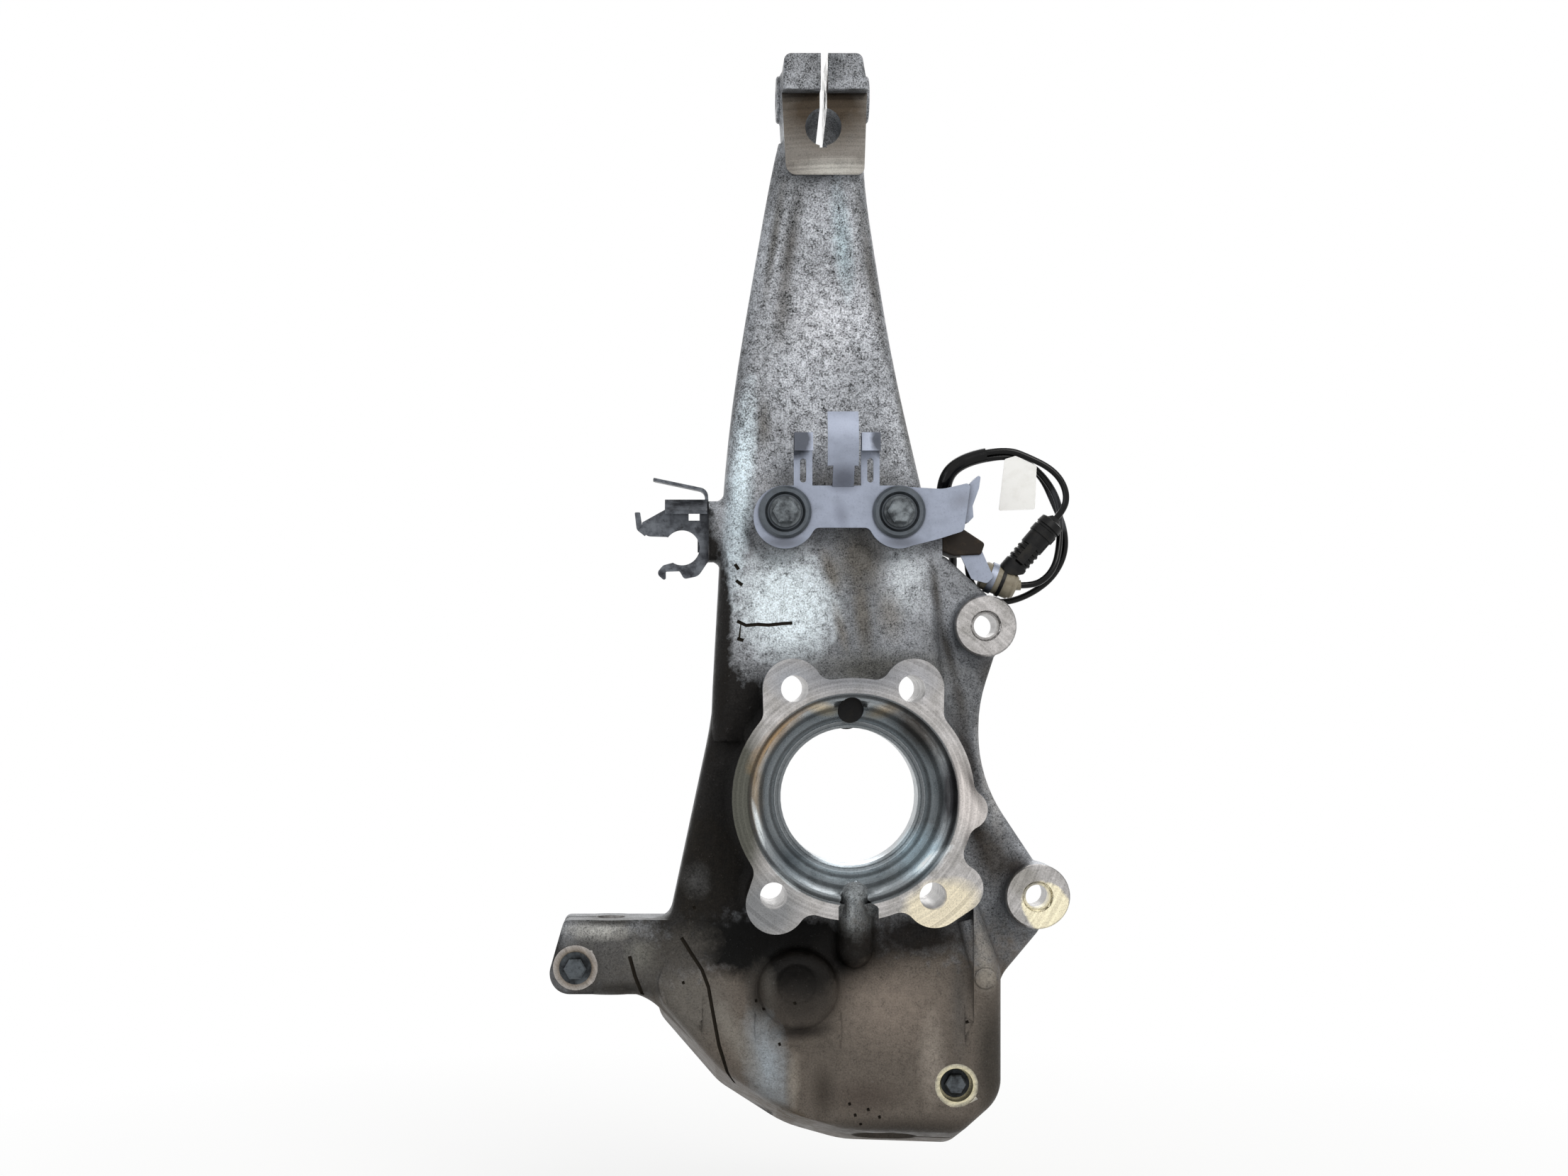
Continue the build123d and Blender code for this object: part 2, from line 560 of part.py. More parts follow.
# ---------------------------------------------------------------- fasteners
def hex_bolt(x, z, seat, end, shank, flange_r=HEX_FLANGE_R, across=HEX_ACROSS, height=HEX_HEIGHT):
    """A flanged hexagon bolt along Y whose head bears at depth seat."""
    head_base = seat - HEX_FLANGE
    hexagon = slab(Pos(x, z) * RegularPolygon(across / 2, 6, major_radius=False),
                   head_base - height, head_base)
    hexagon = chamfer(on_plane_y(hexagon, head_base - height), 0.8)
    return hexagon + rod_y(x, z, head_base, seat, flange_r) + rod_y(x, z, seat, end, shank)


def bracket_washer(x, z):
    """A dished washer: raised rim, lower middle."""
    outer, inner, thick = WASHER_R, BRACKET_BOLT_R + 0.3, WASHER_THICK
    profile = Polyline(
        (inner, 0), (outer, 0), (outer, -1.2), (outer - 1.4, -thick), (outer - 3.2, -thick),
        (outer - 4.6, -1.6), (inner, -1.6), close=True)
    return Pos(x, BRACKET_BACK - BRACKET_SHEET, z) * revolve(make_face(profile), Axis.Y)


# ---------------------------------------------------------------- upper bracket
def strip_profile(points_out, points_in):
    """Side view (y, z) of a bent strip between an outer and an inner arc."""
    outer = ThreePointArc(*points_out)
    inner = ThreePointArc(*points_in)
    ends = [Line(points_out[0], points_in[0]), Line(points_out[2], points_in[2])]
    return make_face([outer, inner, *ends])


def along_x(face, x0, x1):
    """A side-view face (y, z) carried from x0 to x1."""
    plane = Plane(origin=(x0, 0, 0), x_dir=(0, 1, 0), z_dir=(1, 0, 0))
    return extrude(plane * face, amount=x1 - x0, dir=(1, 0, 0))


def bracket_tongue():
    front = BRACKET_BACK - BRACKET_SHEET
    root = BRACKET_TOP - 1.3
    (bend_y, bend_z), (end_y, end_z) = TONGUE_BEND, TONGUE_END
    thick = BRACKET_SHEET - 0.5
    face = strip_profile([(front, root), (bend_y, bend_z), (end_y, end_z)],
                         [(front + thick, root), (bend_y + thick, bend_z), (end_y + thick, end_z)])
    tongue = along_x(face, *TONGUE_X)
    for left, right in TONGUE_CUTS:
        tongue -= slab(Pos((left + right) / 2, root + 3) * Rectangle(right - left, 16), 0, BRACKET_BACK + 5)
    return tongue


def bracket_prong(left, right):
    """An upright finger with a slot and a folded head."""
    front = BRACKET_BACK - BRACKET_SHEET
    root, top, width = BRACKET_TOP - 2.3, PRONG_TOP, right - left
    thick = BRACKET_SHEET - 0.5
    stem = slab(outline([(left, root, 0), (right, root, 0), (right, top - 4, 0), (left, top - 4, 0)]),
                front, front + thick)
    slot = slab(Pos((left + right) / 2, root + width) * SlotOverall(1.3 * width, width / 3, rotation=90),
                0, 2 * BRACKET_BACK)
    fold = along_x(make_face(Polyline(
        (front + thick, top - 8), (front + thick, top), (front - 6, top), (front - 8, top - 10),
        (front - 6.2, top - 10), (front - 4.4, top - thick), (front, top - thick), (front, top - 8),
        close=True)), left, right)
    return stem - slot + fold


def upper_bracket():
    front = BRACKET_BACK - BRACKET_SHEET
    (lx, lz), (rx, rz) = BRACKET_LEFT, BRACKET_RIGHT
    middle_z = lz - BRACKET_EYE_DROP
    plate = Pos(lx, middle_z) * Circle(BRACKET_EYE_R) + Pos(rx, middle_z) * Circle(BRACKET_EYE_R)
    plate += outline([(lx, BRACKET_TOP - 0.4, 0), (rx, BRACKET_TOP - 0.4, 0), (rx, BRACKET_WAIST, 0),
                      (lx, BRACKET_WAIST, 0)])
    plate += outline([(rx - 4, BRACKET_TOP - 0.6, 0), *BRACKET_ARM,
                      (rx + 2, middle_z - BRACKET_EYE_R + 0.2, 0)])
    plate = offset(offset(plate, 4), -4)
    sheet = slab(plate, front, BRACKET_BACK)
    wing = slab(outline(BRACKET_WING), BRACKET_BACK - 0.5, WING_BACK)
    sheet += wing + bracket_tongue()
    for left, right in PRONGS:
        sheet += bracket_prong(left, right)
    for x, z in (BRACKET_LEFT, BRACKET_RIGHT):
        sheet -= rod_y(x, z, 0, WING_BACK, BRACKET_BOLT_R + 0.4)
    return sheet


# ---------------------------------------------------------------- side clip
def side_clip():
    """Sheet clip: spine on the pad, plate with an open round seat, hooks and folded flaps."""
    y0 = CLIP_PLATE_Y
    y1 = y0 + CLIP_SHEET
    spine_x = CLIP_SEAT - CLIP_SHEET
    spine = Pos((spine_x + CLIP_SEAT) / 2, (y0 + CLIP_Y[1]) / 2, sum(CLIP_Z) / 2) * Box(
        CLIP_SHEET, CLIP_Y[1] - y0, CLIP_Z[1] - CLIP_Z[0])
    plate = outline(CLIP_PLATE) - Pos(*CLIP_NOTCH) * Circle(CLIP_NOTCH_R)
    plate += outline(CLIP_HOOK)
    plate -= Pos(*CLIP_WINDOW) * Rectangle(6, 4)
    top = CLIP_Z[1]
    flap = along_x(make_face(Polyline(
        (y0, top - 1), (y0 - 10, top - 7.5), (y0 - 10.6, top - 5.6), (y0, top + 1), close=True)),
        CLIP_FLAP_LEFT, spine_x + 1)
    strip = slab(outline(CLIP_STRIP), y0, y0 + 9)
    clip = spine + slab(plate, y0, y1) + flap + strip
    by, bz = CLIP_BOLT
    return clip - rod((spine_x - 1, by, bz), (CLIP_SEAT + 1, by, bz), CLIP_BOLT_R + 0.3)


def side_clip_bolt():
    y, z = CLIP_BOLT
    seat = CLIP_SEAT - CLIP_SHEET
    plane = Plane(origin=(seat - 4, y, z), x_dir=(0, 1, 0), z_dir=(1, 0, 0))
    head_part = extrude(plane * RegularPolygon(CLIP_BOLT_HEX / 2, 6, major_radius=False), amount=4)
    return head_part + rod((seat, y, z), (CLIP_SEAT + 13, y, z), CLIP_BOLT_R)


# ---------------------------------------------------------------- sensor
def sensor_body():
    """Sensor: nose in the bore, ear on the ring's back and a round head."""
    x, z = SENSOR
    ear_part = slab(flange_lobe((x, z), 11, (x, SENSOR_BOLT_Z), 7.5), HUB_BACK,
                    HUB_BACK + SENSOR_EAR)
    body = rod_y(x, z, SENSOR_TIP, HUB_BACK, SENSOR_R) + ear_part
    head_part = rod_y(x, z, HUB_BACK + SENSOR_EAR, SENSOR_HEAD_BACK, SENSOR_HEAD_R)
    body += fillet(on_plane_y(head_part, SENSOR_HEAD_BACK), 2)
    return body - rod_y(x, SENSOR_BOLT_Z, HUB_BACK - 1, HUB_BACK + 20, SENSOR_BOLT_R + 0.3)


def sensor_bolt():
    x, z = SENSOR
    seat = HUB_BACK + SENSOR_EAR
    head_part = slab(Pos(x, SENSOR_BOLT_Z) * RegularPolygon(5, 6, major_radius=False), seat, seat + 5)
    return head_part + rod_y(x, SENSOR_BOLT_Z, HUB_BACK - 14, seat, SENSOR_BOLT_R)


# ---------------------------------------------------------------- connector
def along(tilt, distance):
    """The point at a distance from the connector's middle on the axis with that tilt."""
    x, y, z = CONNECTOR
    return (x + distance * cos(radians(tilt)), y, z + distance * sin(radians(tilt)))


def turned(tilt, profile):
    """A turned part on the axis with that tilt; the profile gives (radius, distance) pairs."""
    face = make_face(Polyline((0, profile[0][1]), *profile, (0, profile[-1][1]), close=True))
    return Pos(*CONNECTOR) * Rot(0, 90 - tilt, 0) * revolve(Plane.XZ * face, Axis.Z)


def connector_socket():
    """Round socket with a groove for its collar, a stepped mouth and the outlet of its lead."""
    r = SOCKET_R
    return turned(SOCKET_TILT, [
        (r - 1.2, -11.5), (r, -10.3), (r, -1), (r - 1, -1), (r - 1, 1), (r, 1), (r, 5.5),
        (r - 0.8, 5.5), (r - 0.8, 7), (r - 2, 8.5)]) + rod(
            (CONNECTOR[0], CONNECTOR[1], OUTLET[2]), OUTLET, LEAD_R + 1)


def socket_collar():
    r = SOCKET_R
    return turned(SOCKET_TILT, [(r + 0.7, -0.95), (r + 0.7, 0.95)]) - turned(
        SOCKET_TILT, [(r - 0.95, -5), (r - 0.95, 5)])


def connector_plug():
    """Plug whose lower end sits as a saddle on the socket, with grip rings and a latch ridge."""
    r = PLUG_R
    profile = [(r, 0), (r, 13)]
    for ring in range(4):
        base = 14 + 3.2 * ring
        profile += [(r - 0.7, base), (r - 0.7, base + 0.9), (r, base + 1.4), (r, base + 2.3)]
    profile += [(r, PLUG_END)]
    latch = Pos(*along(PLUG_TILT, 20)) * Rot(0, 90 - PLUG_TILT, 0) * Pos(
        0, -PLUG_R, 0) * Box(5, 3, 12)
    saddle = turned(SOCKET_TILT, [(SOCKET_R + 0.75, -40), (SOCKET_R + 0.75, 40)])
    return turned(PLUG_TILT, profile) + latch - saddle


def connector_boot():
    r = PLUG_HEAD_R
    return turned(PLUG_TILT, [
        (r, PLUG_END), (r, PLUG_END + 4), (r - 0.6, PLUG_END + 4.6), (r - 0.6, PLUG_END + 5.6),
        (r, PLUG_END + 6.2), (r - 0.5, PLUG_END + 10), (r - 3, BOOT_END - 2),
        (LEAD_R + 0.9, BOOT_END)])


def connector_holder():
    """Plated sheet from the block down to a band round the socket."""
    y0 = HOLDER_SHEET_Y
    y1 = y0 + HOLDER_SHEET
    sheet = slab(outline([(60.5, 131, 0), (71, 136, 0), (78.4, 119, 1.5), (74.8, 115.6, 2),
                          (66.5, 118, 1.5)]), y0, y1)
    band = turned(SOCKET_TILT, [(SOCKET_R + 0.9, -7.5), (SOCKET_R + 0.9, -4)]) - turned(
        SOCKET_TILT, [(SOCKET_R, -12), (SOCKET_R, 0)])
    return sheet + band - turned(SOCKET_TILT, [(SOCKET_R, -14), (SOCKET_R, 8)])


def holder_block():
    """Moulded block between the neck's pad and the connector's sheet."""
    y0, y1 = HOLDER_Y
    block = slab(outline([(HOLDER_SEAT, 143, 0), (59.7, 146.6, 3), (73.7, 137.3, 2), (71.6, 131.2, 2),
                          (57, 130.5, 3), (HOLDER_SEAT, 133, 0)]), y0, y1)
    block = fillet(on_plane_y(block, y0), 1)
    slot = slab(outline([(60.5, 125, 0), (75, 125, 0), (75, 136, 0), (60.5, 136, 0)]),
                HOLDER_SHEET_Y, HOLDER_SHEET_Y + HOLDER_SHEET)
    x, y, z = OUTER_LEAD[-1]
    return block - slot - Pos(x, y, z - 10) * Cylinder(LEAD_R, 20)


# ---------------------------------------------------------------- leads
def lead_radii(points):
    """The largest arcs that the runs of a route leave room for."""
    radii = []
    for before, here, after in zip(points, points[1:], points[2:]):
        first, second = Vector(*here) - Vector(*before), Vector(*after) - Vector(*here)
        turn = radians(first.get_angle(second))
        radii.append(0.45 * min(first.length, second.length) / tan(turn / 2))
    return radii


def lead(name, points, radius):
    """A round lead on straight runs joined by tangent arcs."""
    radii = lead_radii(points)
    path = FilletPolyline(*points, radius=radii)
    start = Plane(origin=path @ 0, z_dir=path % 0)
    tube = sweep(start * Circle(radius), path=path)
    section = 3.14159265 * radius ** 2
    print(name, "arcs", [round(r, 1) for r in radii], "length", round(path.length, 1),
          "volume ratio", round(tube.volume / (section * path.length), 4))
    return tube


def bundle(angle, forward):
    """A lead's place in the bundle at the sheath's end, that far along the sheath's last run."""
    (x0, _, z0), (x1, y1, z1) = SHEATH[-2:]
    length = Vector(x1 - x0, 0, z1 - z0).length
    run = ((x1 - x0) / length, (z1 - z0) / length)
    up = BUNDLE_R * sin(radians(angle))
    return (x1 + forward * run[0] - up * run[1], y1 + BUNDLE_R * cos(radians(angle)),
            z1 + forward * run[1] + up * run[0])


BUNDLE_R = 2.15             # the three leads lie in a triangle inside the sheath
SHEATH = [(55, 57, 153), (51, 46, 168), (60, 46, 183.5), (76, 46, 186.5)]
SENSOR_LEAD = [(0, SENSOR_HEAD_BACK, 47), (0, 89, 47), (8, 97, 55), (24, 100, 70), (44, 96, 92),
               (60, 86, 114), (62, 74, 129), (58, 65.25, 141.75), SHEATH[0]]
INNER_LEAD = [bundle(150, 0), bundle(150, 12), (100.5, 43.6, 184.5), (110.3, 43.6, 179.5),
              (116.9, 43.6, 173), (120, 43.2, 164.6), along(PLUG_TILT, BOOT_END + 7),
              along(PLUG_TILT, BOOT_END)]
OUTER_LEAD = [bundle(30, 0), bundle(30, 10), (98.5, 53.5, 184), (108.5, 54.3, 174.5),
              (114.5, 54.3, 161), (120.5, 54.3, 147), (121, 54.3, 133), (114.5, 55, 120),
              (103, 57, 111), (90, 59, 106), (78, 59, 107), (68.5, 52, 116), (66, 48, 126),
              (66, 48, 134)]
SOCKET_LEAD = [bundle(270, 0), bundle(270, 8), (93, 46.6, 184.9), (102, 49.3, 181), (111, 50.2, 172),
               (117, 50.2, 160), (117.3, 49.6, 147), (116, 46, 134.5), (113.5, 43.5, 125.5),
               (108.5, 42.7, 118.8), (101.5, 42.7, 115), OUTLET]


def cable_tag():
    """Blank tag that hangs from the leads."""
    return slab(outline([(86, 184, 1), (91.9, 185.8, 0.5), (94.8, 184.6, 0.5), (103.5, 180.5, 1),
                         (102.5, 156.6, 1), (82.7, 155.8, 1)]), 43.3, 43.9)


NODES = {
    "knuckle_casting": knuckle_casting,
    "upper_bracket": upper_bracket,
    "bracket_washer_left": lambda: bracket_washer(*BRACKET_LEFT),
    "bracket_washer_right": lambda: bracket_washer(*BRACKET_RIGHT),
    "bracket_bolt_left": lambda: hex_bolt(
        *BRACKET_LEFT, BRACKET_BACK - BRACKET_SHEET - 1.6, BRACKET_BOLT_END, BRACKET_BOLT_R),
    "bracket_bolt_right": lambda: hex_bolt(
        *BRACKET_RIGHT, BRACKET_BACK - BRACKET_SHEET - 1.6, BRACKET_BOLT_END, BRACKET_BOLT_R),
    "side_clip": side_clip,
    "side_clip_bolt": side_clip_bolt,
    "steering_arm_pinch_bolt": lambda: hex_bolt(
        *TIE_BOLT, TIE_ROD[1] - TIE_HALF - TIE_SPOT_PROUD, TIE_ROD[1] + TIE_HALF - 2, PINCH_BOLT_R,
        flange_r=8.7, across=10.6, height=5),
    "lower_joint_pinch_bolt": lambda: hex_bolt(
        *LOWER_BOLT, BODY_FRONT + LOWER_COUNTERBORE, BODY_BACK - 8, PINCH_BOLT_R, flange_r=7.6,
        across=10.5, height=5),
    "sensor_body": sensor_body,
    "sensor_bolt": sensor_bolt,
    "holder_block": holder_block,
    "connector_holder": connector_holder,
    "connector_socket": connector_socket,
    "socket_collar": socket_collar,
    "connector_plug": connector_plug,
    "connector_boot": connector_boot,
    "sensor_lead": lambda: lead("sensor_lead", SENSOR_LEAD, SENSOR_LEAD_R),
    "cable_sheath": lambda: lead("cable_sheath", SHEATH, SHEATH_R),
    "cable_inner": lambda: lead("cable_inner", INNER_LEAD, LEAD_R),
    "cable_outer": lambda: lead("cable_outer", OUTER_LEAD, LEAD_R),
    "cable_socket": lambda: lead("cable_socket", SOCKET_LEAD, LEAD_R),
    "cable_tag": cable_tag,
}

os.makedirs("parts", exist_ok=True)
for node, make in NODES.items():
    export_step(make(), f"parts/{node}.step")
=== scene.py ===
import math

import bmesh
import bpy
from mathutils import Matrix, Vector
from mathutils.bvhtree import BVHTree
from mathutils.kdtree import KDTree


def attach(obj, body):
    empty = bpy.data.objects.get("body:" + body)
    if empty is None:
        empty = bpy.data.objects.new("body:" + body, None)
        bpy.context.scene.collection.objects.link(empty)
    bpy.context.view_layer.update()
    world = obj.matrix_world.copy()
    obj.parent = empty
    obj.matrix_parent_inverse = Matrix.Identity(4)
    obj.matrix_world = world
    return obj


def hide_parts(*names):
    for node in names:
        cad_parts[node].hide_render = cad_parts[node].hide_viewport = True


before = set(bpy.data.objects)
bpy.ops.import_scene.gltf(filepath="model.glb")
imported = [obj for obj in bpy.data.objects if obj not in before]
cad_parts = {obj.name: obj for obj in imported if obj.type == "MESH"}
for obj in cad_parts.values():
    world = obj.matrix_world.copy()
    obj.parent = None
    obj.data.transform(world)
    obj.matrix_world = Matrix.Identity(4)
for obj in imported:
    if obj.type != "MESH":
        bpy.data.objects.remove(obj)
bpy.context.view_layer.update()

bl_info = {
    "name": "Steering knuckle",
    "version": (1, 0, 0),
    "blender": (4, 5, 0),
    "location": "View3D > Sidebar > Knuckle",
    "description": "Finishes, leads and light of a cast steering knuckle",
    "category": "Object",
}

MM = 0.001


# ---------------------------------------------------------------- helpers
def mm(*values):
    return Vector([value * MM for value in values])


def linear(hex_colour):
    """An sRGB hex colour as the linear RGBA that shaders take."""
    channels = [int(hex_colour[i:i + 2], 16) / 255 for i in (1, 3, 5)]
    return [c / 12.92 if c <= 0.04045 else ((c + 0.055) / 1.055) ** 2.4 for c in channels] + [1.0]


def add_node(material, kind, settings=None, links=None):
    """A node with its settings; links give (from node, output) for inputs by name or number."""
    tree = material.node_tree
    node = tree.nodes.new(kind)
    for name, value in (settings or {}).items():
        if isinstance(name, int) or name in node.inputs:
            node.inputs[name].default_value = value
        else:
            setattr(node, name, value)
    for name, (source, output) in (links or {}).items():
        tree.links.new(source.outputs[output], node.inputs[name])
    return node


def new_material(name):
    """An empty node material: returns it with its Principled shader."""
    material = bpy.data.materials.new(name)
    material.use_nodes = True
    material.node_tree.nodes.clear()
    shader = add_node(material, "ShaderNodeBsdfPrincipled")
    add_node(material, "ShaderNodeOutputMaterial", links={"Surface": (shader, "BSDF")})
    return material, shader


def link(material, source, output, target, name):
    material.node_tree.links.new(source.outputs[output], target.inputs[name])


def object_of(name, mesh):
    piece = bpy.data.objects.new(name, mesh)
    bpy.context.scene.collection.objects.link(piece)
    return piece


def apply_modifiers(piece):
    depsgraph = bpy.context.evaluated_depsgraph_get()
    mesh = bpy.data.meshes.new_from_object(piece.evaluated_get(depsgraph))
    old = piece.data
    piece.modifiers.clear()
    piece.data = mesh
    bpy.data.meshes.remove(old)
    return piece


def cylinder(start, end, radius):
    """A closed cylinder mesh between two points in millimetres."""
    a, b = mm(*start), mm(*end)
    bm = bmesh.new()
    turn = (b - a).to_track_quat("Z", "Y").to_matrix().to_4x4()
    bmesh.ops.create_cone(bm, cap_ends=True, segments=48, radius1=radius * MM, radius2=radius * MM,
                          depth=(b - a).length, matrix=Matrix.Translation((a + b) / 2) @ turn)
    mesh = bpy.data.meshes.new("cylinder")
    bm.to_mesh(mesh)
    bm.free()
    return mesh


def block(low, high):
    """A closed box mesh between two corners in millimetres."""
    a, b = mm(*low), mm(*high)
    bm = bmesh.new()
    size = Matrix.Diagonal((*(b - a), 1))
    bmesh.ops.create_cube(bm, size=1, matrix=Matrix.Translation((a + b) / 2) @ size)
    mesh = bpy.data.meshes.new("block")
    bm.to_mesh(mesh)
    bm.free()
    return mesh


def boolean(piece, operation, other_mesh):
    other = object_of("tool", other_mesh)
    modifier = piece.modifiers.new("boolean", "BOOLEAN")
    modifier.operation = operation
    modifier.solver = "MANIFOLD"
    modifier.object = other
    apply_modifiers(piece)
    bpy.data.objects.remove(other)
    bpy.data.meshes.remove(other_mesh)


# ---------------------------------------------------------------- casting
EARS = [(72.7, 92.3, 16.6), (100.6, -53.3, 17.5)]
HUB_BOLTS = [(-31.1, 58.55), (31.1, 58.55), (-42.2, -51.1), (42.2, -51.1)]
LOWER_BOLT = (56.3, -153.9)
TIE_BOLT = (-148.3, -92.4)
RIB = (Vector((2.4, 21.6, -55)), Vector((2.4, 23.6, -82.5)), 9.6)  # the drain rib's two ends and its radius
LEAN = Vector((0, -math.sin(math.radians(16)), -math.cos(math.radians(16))))
LOWER_BORE = Vector((20, 45, -187))
HEAD_X = -12.6                              # the slit and the bore of the head
TIE_BORE = (-129.7, 45)                     # x and y of the steering arm's bore
CREASE = (15, -120)                         # y and z of the crease across the body
BRACKET_BOLTS = [(-35.2, 153.6), (26.2, 153.6)]
SHARP_DEGREES = 32
# Lines and pits in the cast skin, as (x, z) points seen from the front.
SEAMS = [
    [(-91, -76), (-86, -84), (-80, -93), (-76.5, -102), (-74, -116), (-71, -132), (-66.5, -147),
     (-62, -156)],
    [(-119, -86), (-116, -97), (-112, -107)],
    [(-61, 95), (-56, 92.6), (-50, 93.2), (-44, 92.8), (-37, 93.6), (-31, 94)],
    [(-61.5, 117), (-58, 114.5)], [(-62, 126), (-60, 123)], [(-61, 85.5), (-57.5, 84.5)]]
PITS = [(-51, -109), (-47, -113), (-38.5, -132), (-30.5, -109.5), (-1, -164), (2, -170), (9, -167),
        (15, -171), (5, -175), (-90, -100), (-84, -60), (62, -120)]


def keep_clear():
    """Where machining leaves no cast fillet: bores, faces, slits and bolt seats."""
    tools = [cylinder((0, -5, 0), (0, 110, 0), 57), block((-60, 40, 335), (30, 56, 388)),
             block((HEAD_X - 2.9, 30, 350), (HEAD_X + 2.9, 110, 415)),
             cylinder((HEAD_X, 20, 379), (HEAD_X, 130, 345), 11.5),
             block((-160, 42, -120), (-118, 48, -55)), cylinder((*TIE_BORE, -120), (*TIE_BORE, -55), 9.5),
             block((-140, -3, -75), (140, 0.3, 90)), block((-9.5, -3, -80), (15, 12, -46))]
    tools += [cylinder((x, -3, z), (x, 100, z), 8.2) for x, z in HUB_BOLTS]
    tools += [cylinder((x, 0, z), (x, 20.2, z), r + 6) for x, z, r in EARS]
    tools += [cylinder((x, 0, z), (x, 60, z), 7.5) for x, z, _ in EARS]
    for (x, z), depth in ((LOWER_BOLT, 24), (TIE_BOLT, 27.2)):
        tools += [cylinder((x, 0, z), (x, depth, z), 12.4), cylinder((x, 0, z), (x, 90, z), 6)]
    tools += [cylinder(LOWER_BORE + 12 * LEAN, LOWER_BORE - 46 * LEAN, 19)]
    tools += [cylinder((x, 15, z), (x, 24.7, z), 22) for x, z in BRACKET_BOLTS]
    tools += [block((-100, 36, 126), (-75.8, 62, 163)), block((50.3, 28, 125), (80, 60, 150))]
    return tools


def surface_points(piece, line, step=0.8):
    """Points in millimetres on the front of a piece, along a line of (x, z) points."""
    bm = bmesh.new()
    bm.from_mesh(piece.data)
    tree = BVHTree.FromBMesh(bm)
    bm.free()
    points = []
    for (x0, z0), (x1, z1) in zip(line, line[1:]):
        count = max(1, round(math.hypot(x1 - x0, z1 - z0) / step))
        for i in range(count + 1):
            x, z = x0 + (x1 - x0) * i / count, z0 + (z1 - z0) * i / count
            hit = tree.ray_cast(mm(x, -60, z), Vector((0, 1, 0)))[0]
            if hit and (not points or (hit / MM - points[-1]).length > 0.3):
                points.append(hit / MM)
    return points


def tube(points, radius):
    """A closed tube mesh along points in millimetres."""
    curve = bpy.data.curves.new("tube", "CURVE")
    curve.dimensions = "3D"
    curve.bevel_depth = radius * MM
    curve.bevel_resolution = 2
    curve.use_fill_caps = True
    spline = curve.splines.new("POLY")
    spline.points.add(len(points) - 1)
    for spot, point in zip(spline.points, points):
        spot.co = (*mm(*point), 1)
    carrier = object_of("tube", curve)
    mesh = bpy.data.meshes.new_from_object(carrier.evaluated_get(bpy.context.evaluated_depsgraph_get()))
    bpy.data.objects.remove(carrier)
    bpy.data.curves.remove(curve)
    bm = bmesh.new()
    bm.from_mesh(mesh)
    bmesh.ops.remove_doubles(bm, verts=bm.verts, dist=1e-7)
    bm.to_mesh(mesh)
    bm.free()
    return mesh


def scratched(casting, width):
    """Cuts the seams and pits into the casting and returns the points that they follow."""
    marks = []
    for line in SEAMS:
        points = surface_points(casting, line)
        boolean(casting, "DIFFERENCE", tube(points, width / 2))
        marks += points
    for x, z in PITS:
        points = surface_points(casting, [(x - 0.7, z), (x + 0.7, z + 0.4)], 1.4)
        boolean(casting, "DIFFERENCE", tube(points, 0.9 * width / 2))
        marks += points
    return marks


def crease_rounder(low_x, high_x, length=16.0, steps=12):
    """What a large radius takes off the body's crease, between two x."""
    turn = math.atan2(12, 34)
    radius = length / math.tan(turn / 2)
    crease_y, crease_z = CREASE
    section = []
    for i in range(steps + 1):
        a = turn * i / steps
        section.append((crease_y + radius * (1 - math.cos(a)), crease_z - length + radius * math.sin(a)))
    y, z = section[-1]
    section += [(y - 4 * math.cos(turn), z + 4 * math.sin(turn)),
                (10.7, crease_z), (11, crease_z - length)]
    bm = bmesh.new()
    rings = [[bm.verts.new(mm(x, y, z)) for y, z in section] for x in (low_x, high_x)]
    count = len(section)
    for i in range(count):
        j = (i + 1) % count
        bm.faces.new((rings[0][i], rings[0][j], rings[1][j], rings[1][i]))
    bm.faces.new(rings[0][::-1])
    bm.faces.new(rings[1])
    bmesh.ops.recalc_face_normals(bm, faces=bm.faces)
    mesh = bpy.data.meshes.new("rounder")
    bm.to_mesh(mesh)
    bm.free()
    return mesh


def casting_shape(sizes):
    """The casting with generous cast fillets in its inner corners and its machined edges crisp."""
    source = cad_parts["knuckle_casting"].data
    bm = bmesh.new()
    bm.from_mesh(source)
    bmesh.ops.remove_doubles(bm, verts=bm.verts, dist=1e-6)
    crisp = bpy.data.meshes.new("casting")
    bm.to_mesh(crisp)
    bm.free()
    casting = object_of("casting_body", crisp)
    for low_x, high_x in ((-80, -51.5), (-5.5, 61)):
        boolean(casting, "DIFFERENCE", crease_rounder(low_x, high_x))
    soft = object_of("soft", casting.data.copy())
    remesh = soft.modifiers.new("remesh", "REMESH")
    remesh.mode = "VOXEL"
    remesh.voxel_size = sizes.blend_voxel
    apply_modifiers(soft)
    smooth = soft.modifiers.new("smooth", "SMOOTH")
    smooth.factor = 0.5
    smooth.iterations = sizes.blend_steps
    sink = soft.modifiers.new("sink", "DISPLACE")
    sink.strength = -sizes.blend_sink
    sink.mid_level = 0
    apply_modifiers(soft)
    for tool in keep_clear():
        boolean(soft, "DIFFERENCE", tool)
    fill = soft.data
    bpy.data.objects.remove(soft)
    boolean(casting, "UNION", fill)
    return casting


